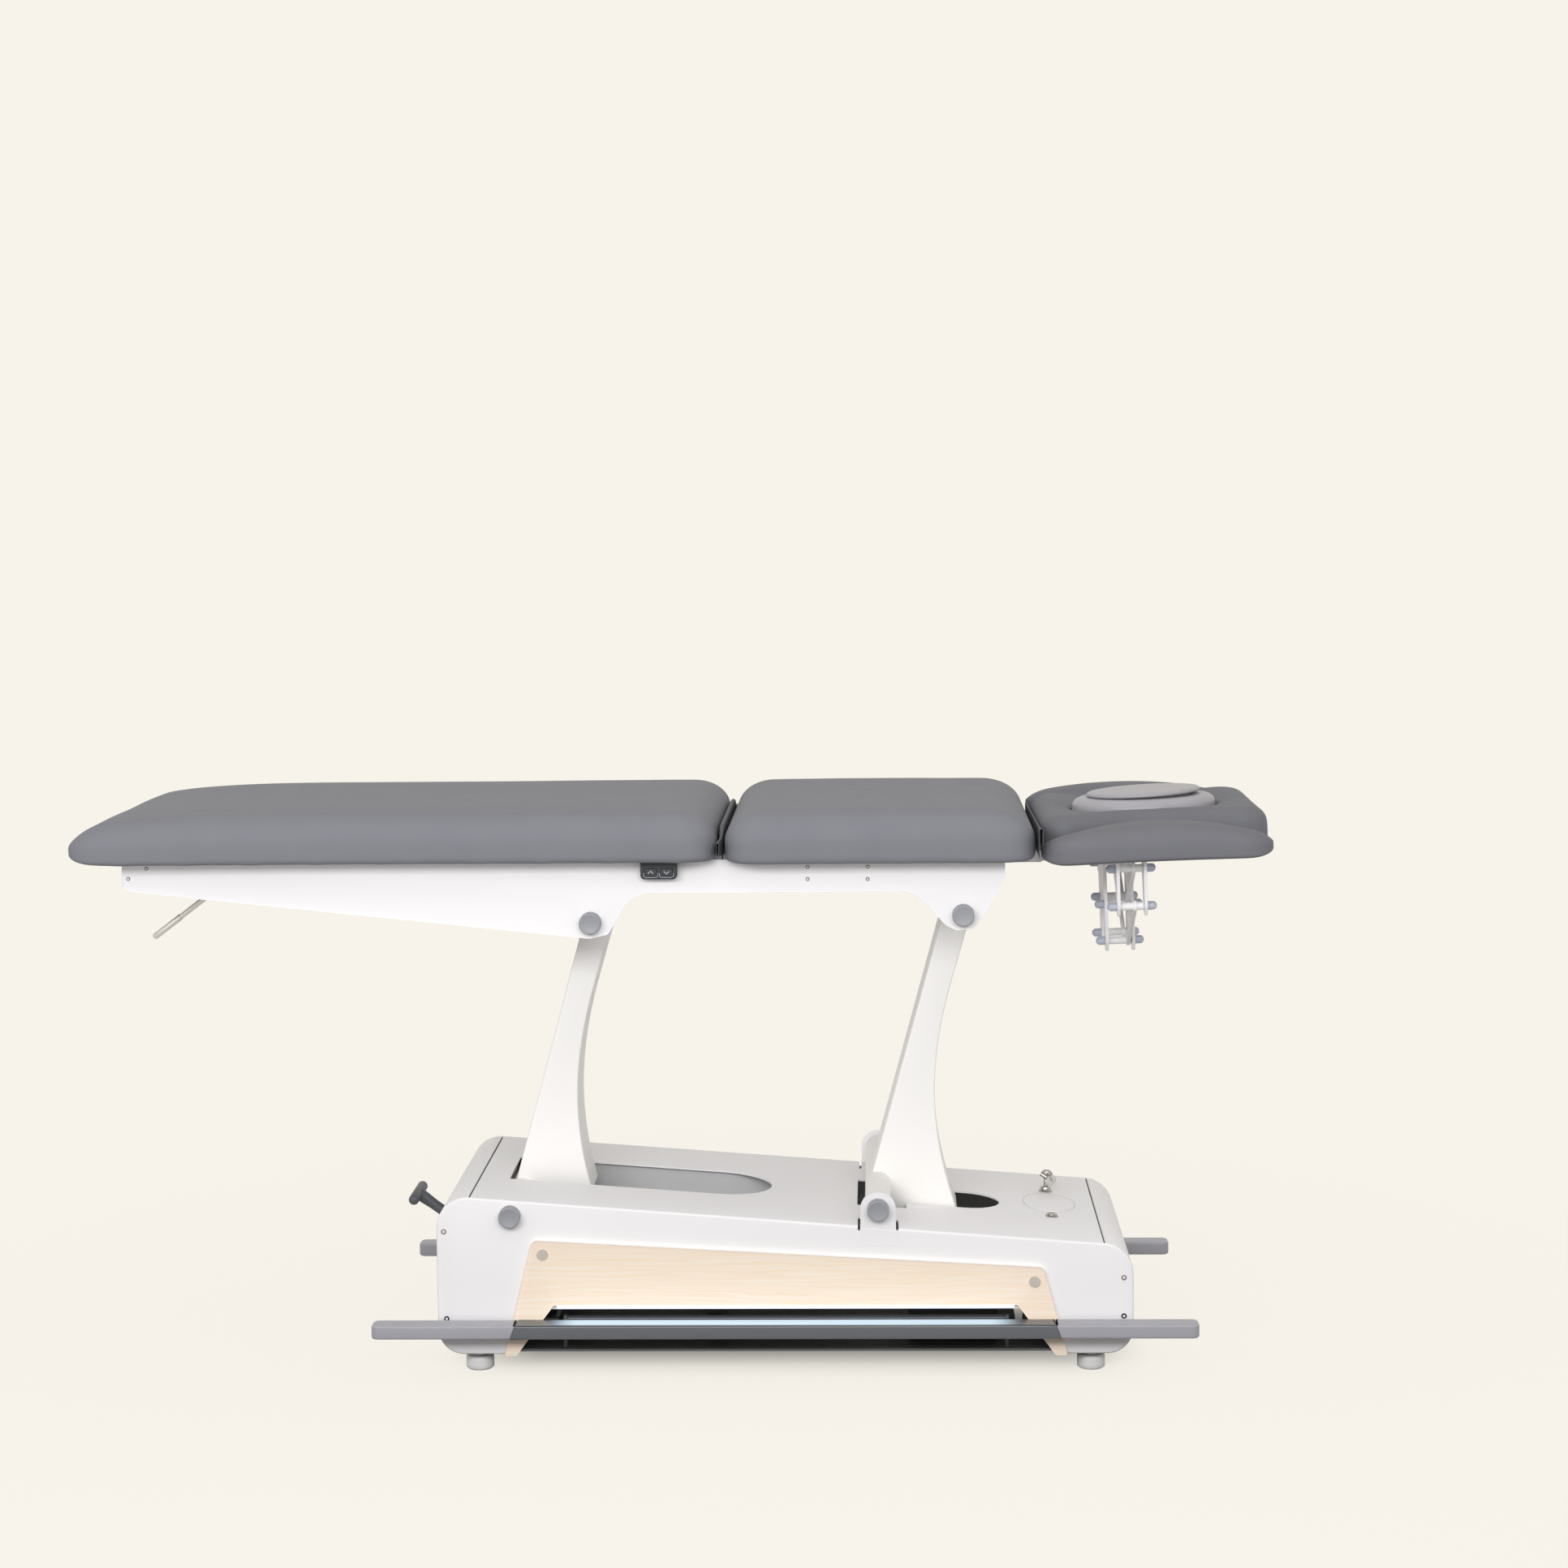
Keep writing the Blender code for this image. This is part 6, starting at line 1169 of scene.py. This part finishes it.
seat = 0.0085 + (0.018 * (1 - nose) - 0.004 * droop * (1 - nose))[:, None] + 0.36 * thick
level = seat + np.where(rise > 0, 0.64, 0.36) * thick * rise
across = (outside + inside)[:, None] / 2 + (outside - inside)[:, None] / 2 * flat
# The lowered link swings up under the inner edge, so the underside is hollowed above it.
over_link = np.clip((link_half - np.abs(along - link_u)) / 0.010, 0, 1)[:, None]
hollow = np.clip(0.279 * (0.24 - across) + 0.0047, level, np.maximum(seat, level))
level = np.where(rise < 0, level + over_link * (hollow - level), level)
for name, side, shift, lift, dip in (("near", -1, 0.0, 0.0, 0.0), ("far", 1, -0.0091, 0.0178, 0.0145)):
    height = level + lift - dip * (share[:, None] - 0.35)
    rings = np.stack([np.broadcast_to(along[:, None], across.shape), side * (across + shift), height], -1)
    pad = link(f"{name}_armrest_cushion", *head_at(skinned(rings)), vinyl_painted_shade, 60)
    swelled(pad, 0.002, lambda spots: off_head(spots)[1] < 0.0115 + lift)
    stands_for(pad, f"{name}_armrest", f"{name}_armrest_pad")


# Face insert: a moulded grey ring pressed into the face opening, and a loose lid of the same
# plastic that lies on it, a little askew.
insert_grey = moulded("insert_grey", (0.35, 0.340, 0.362), (0.380, 0.370, 0.392), 0.4)
ring_crest, ring_round, ring_lip = 0.0910, 0.016, 0.0035
insert_half = np.array((face_long - 0.0006, face_wide - 0.0006))
lip_half, hole_half = np.array((0.0895, 0.0735)), (0.088, 0.072)
swing = np.linspace(0, pi / 2, 9)
steps = [(insert_half, head_low)]
steps += [(insert_half - 0.020 * (1 - cos(a)), ring_crest - ring_round + ring_round * sin(a)) for a in swing]
steps += [(lip_half + ring_lip * (1 - sin(a)), ring_crest - ring_lip * (1 - cos(a))) for a in swing[1::2]]
steps += [(hole_half, ring_crest - 0.008), (hole_half, head_low)]
loops = layered([(oval(*halves, (face_u, 0)), up) for halves, up in steps])
fitted("face_ring", head_at((loops, grid_faces(len(steps), 96, True, True))), insert_grey,
       "head_section", "face_insert", 40)
lid_tilt = radians(1.4)
lid_rest = ring_crest + 0.098 * sin(lid_tilt) + fit
lid_steps = [(-0.009, 0.018), (-0.0085, 0.0172), (-0.0005, 0.0164), (0, 0.016), (0, 0.003),
             (0.0004, 0.0014), (0.0016, 0.0004), (0.003, 0.0), (0.0045, 0.0003), (0.0060, 0.0016),
             (0.0072, 0.0040), (0.0079, 0.0080), (0.0080, 0.014)]
loops = layered([(oval(0.1 - draw, 0.084 - draw), up) for up, draw in lid_steps])
lid = loops @ np.array(Matrix.Rotation(-lid_tilt, 3, "Y")).T + (face_u, 0, lid_rest)
fitted("face_lid_shell", head_at(skinned(lid)), insert_grey, "face_lid", "face_lid", 40)


# Gap flaps: a strip of thin vinyl folded into each gap between the pads, stapled to the board on
# either side, so that nothing falls in when a section tilts. The fold waves a little across the table.
flap_vinyl = covering("flap_vinyl", (0.105, 0.107, 0.114), (0.130, 0.132, 0.140))
leg_span, head_span, flap_thick = (0.0838, 0.0880), (0.6238, 0.6264), 0.0006


def fold(left, right, left_foot, crest, right_foot):
    """Inverted Us in the side plane, one for each lane: up at left, half a circle over, down at right."""
    left, right, crest = (np.asarray(value, float)[:, None] for value in (left, right, crest))
    radius = (right - left) / 2
    swing = np.linspace(pi, 0, 13)
    share = np.linspace(0, 1, 10)[:-1]
    x = [left + 0 * share, (left + right) / 2 + radius * np.cos(swing), right + 0 * share]
    z = [left_foot + (crest - radius - left_foot) * share, crest - radius + radius * np.sin(swing),
         (crest - radius + (right_foot - crest + radius) * share[::-1] / share[-1])[:, ::-1]]
    return np.stack([np.concatenate(x, 1), np.concatenate(z, 1)], -1)


def fading(reach, soft):
    """1 well below zero, 0 well above, with a soft step between."""
    return 1 / (1 + np.exp(reach / soft))


leg_lane = np.linspace(-0.321, 0.317, 161)
sway = 0.0013 * np.sin(27 * leg_lane + 0.8) + 0.0010 * np.sin(68 * leg_lane) + 0.0012 * (leg_lane / 0.32)
over = fading(np.abs(leg_lane) - 0.245, 0.010)
leg_paths = fold(leg_span[0] + sway + over * (-0.0012 - sway), leg_span[1] + sway + over * (0.0020 - sway),
                 0.908, 0.9335 + over * 0.0203, 0.908)
head_lane = np.linspace(-0.322, 0.205, 141)
bulge = fading(head_lane + 0.309, 0.006)
head_paths = fold(head_span[0] + 0 * bulge, head_span[1] + 0.0038 * bulge,
                  0.905, 0.9545 - 0.020 * (head_lane + 0.322), 0.927)
for name, lane, paths, span, bodies, pads in (
        ("leg_flap", leg_lane, leg_paths, leg_span,
         ("leg_section", "top_frame"), ("leg_cushion", "mid_cushion")),
        ("head_flap", head_lane, head_paths, head_span,
         ("top_frame", "head_section"), ("mid_cushion", "head_cushion"))):
    rows, columns = paths.shape[:2]
    points = np.stack([paths[..., 0], np.broadcast_to(lane[:, None], (rows, columns)), paths[..., 1]], -1)
    flap = link(name, points, grid_faces(rows, columns), flap_vinyl, 60)
    skin = flap.modifiers.new("skin", "SOLIDIFY")
    skin.thickness, skin.offset = flap_thick, 0.0
    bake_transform(flap)


# Armrest linkage: two equal links a side carry each hanging bracket level as it goes down. Cut
# plates and turned bushes in white powder coat, with pale domed caps on the pins.
dome_grey = moulded("dome_cap", (0.44, 0.47, 0.54), (0.49, 0.52, 0.6), 0.35)
plate_u, plate_gap, plate_thick, pin_gap = 0.1268, 0.0407, 0.004, 0.065
plate_skin, dome_radius, link_radius = 0.0015, 0.0074, 0.0095
centre_y, centre_drop, link_long, hang_u = 0.05, 0.09498, 0.20863, plate_u + 0.0095
near_angle, far_angle = 24.4, 29.9


def domes(u, y, up):
    """Both domed caps of one pin, outside a pair of plates."""
    turn = np.linspace(pi / 2 - 0.06, 0, 9)
    nose = [(0.0108 + 0.0072 * sin(a), dome_radius * cos(a)) for a in turn]
    nose += [(plate_skin - 0.0002, dome_radius), (plate_skin - 0.0002, 0.004)]
    left = [(u - plate_thick - far, radius) for far, radius in nose]
    right = [(u + plate_gap + plate_thick + far, radius) for far, radius in nose]
    return joined(lathe(left, (y, up), "X", 36), lathe(right, (y, up), "X", 36))


def cheeks(outline, u):
    """The two equal plates on either side of a pair of links."""
    thick = plate_thick + plate_skin
    return [slab(outline, low, low + thick, "YZ", 0.0005) for low in (u - thick, u + plate_gap)]


tray = rounded([(0.03, -0.16, 0.01), (0.36, -0.14, 0.03), (0.36, 0.14, 0.03), (0.03, 0.16, 0.01)])
tray_high, tray_low = head_low - fit, head_low - 0.0053
hinge_bar = [(0.003, -0.0105), (0.045, -0.0105), (0.075, tray_low + 0.0012), (0.034, tray_low + 0.0012),
             (0.003, 0.0095)]
shapes = []
for side in (-1, 1):
    lanes = (side * 0.058, side * 0.073)
    shapes.append(slab(hinge_bar, *lanes, "XZ", 0.0008))
    shapes.append(lathe([(lane, 0.0115) for lane in lanes], (0, 0), "Y", 40))
pin_low, tip_low, cheek_half = -centre_drop - pin_gap, -centre_drop - pin_gap - 0.018, centre_y + 0.02
cheek = rounded(mirrored([(cheek_half, tray_low + 0.001, 0.0004), (cheek_half, pin_low, 0.02),
                          (centre_y + 0.004, tip_low, 0.006), (centre_y - 0.014, tip_low, 0.008),
                          (0.016, -0.075, 0.02)]))
shapes += cheeks(cheek, plate_u)
tray_plate = carved("head_tray", head_at(slab(tray, tray_low, tray_high, "XY", 0.0006)),
                    [head_at(slab(oval(0.097, 0.078, (face_u, 0)), -0.02, 0.05, "XY"))], white_coat)
stands_for(tray_plate, "head_section", "head_frame")
trim("linkage_cheeks", head_at(joined(*shapes)), white_coat, "head_section")
centre_domes = [domes(plate_u, side * centre_y, -centre_drop - drop)
                for side in (-1, 1) for drop in (0, pin_gap)]
trim("centre_domes", head_at(joined(*centre_domes)), dome_grey, "head_section", 40)
flange = head_low - 0.004 + centre_drop - link_long * sin(radians(near_angle)) - fit
hang = -pin_gap - 0.016
bush = np.array([(plate_u + fit, 0.0062), (plate_u + 0.0009, 0.0068),
                 (plate_u + plate_gap - 0.0009, 0.0068), (plate_u + plate_gap - fit, 0.0062)])
for name, side, degrees in (("near", -1, near_angle), ("far", 1, far_angle)):
    unit = np.array((side * cos(radians(degrees)), sin(radians(degrees))))
    normal = np.array((-unit[1], unit[0]))
    for label, drop in (("upper", 0.0), ("lower", pin_gap)):
        root = np.array((side * centre_y, -centre_drop - drop))
        tip = root + unit * link_long
        bend = np.linspace(-pi / 2, pi / 2, 17)[:, None]
        curl = link_radius * (np.cos(bend) * unit + np.sin(bend) * normal)
        strip = slab(np.concatenate([tip + curl, root - curl]), hang_u + 0.022, hang_u + 0.028, "YZ", 0.0008)
        bushes = [lathe(bush + (start, 0), spot, "X", 40)
                  for start, spot in ((0, root), (hang_u - plate_u, tip))]
        fitted(f"{name}_{label}_arm", head_at(joined(strip, *bushes)), white_coat,
               f"{name}_{label}_link", f"{name}_{label}_link")
    pin = np.array((side * centre_y, -centre_drop)) + unit * link_long
    cheek = rounded([(-0.026, flange - 0.002, 0.0004), (-0.016, -pin_gap, 0.02), (-0.005, hang, 0.006),
                     (0.007, hang, 0.006), (0.016, -pin_gap, 0.02), (0.026, flange - 0.002, 0.0004)]) + pin
    edges = sorted((pin[0] + side * 0.03, pin[0] - side * 0.022))
    seat = rounded_box(hang_u - plate_thick - 0.02, hang_u + plate_gap + 0.024, *edges, 0.004)
    seat = slab(seat, pin[1] + flange - 0.004, pin[1] + flange, "XY", 0.0006)
    fitted(f"{name}_hanger", head_at(joined(seat, *cheeks(cheek, hang_u))), white_coat,
           f"{name}_armrest", f"{name}_armrest_bracket")
    ends = joined(*[domes(hang_u, pin[0], pin[1] - drop) for drop in (0, pin_gap)])
    trim(f"{name}_domes", head_at(ends), dome_grey, f"{name}_armrest", 40)
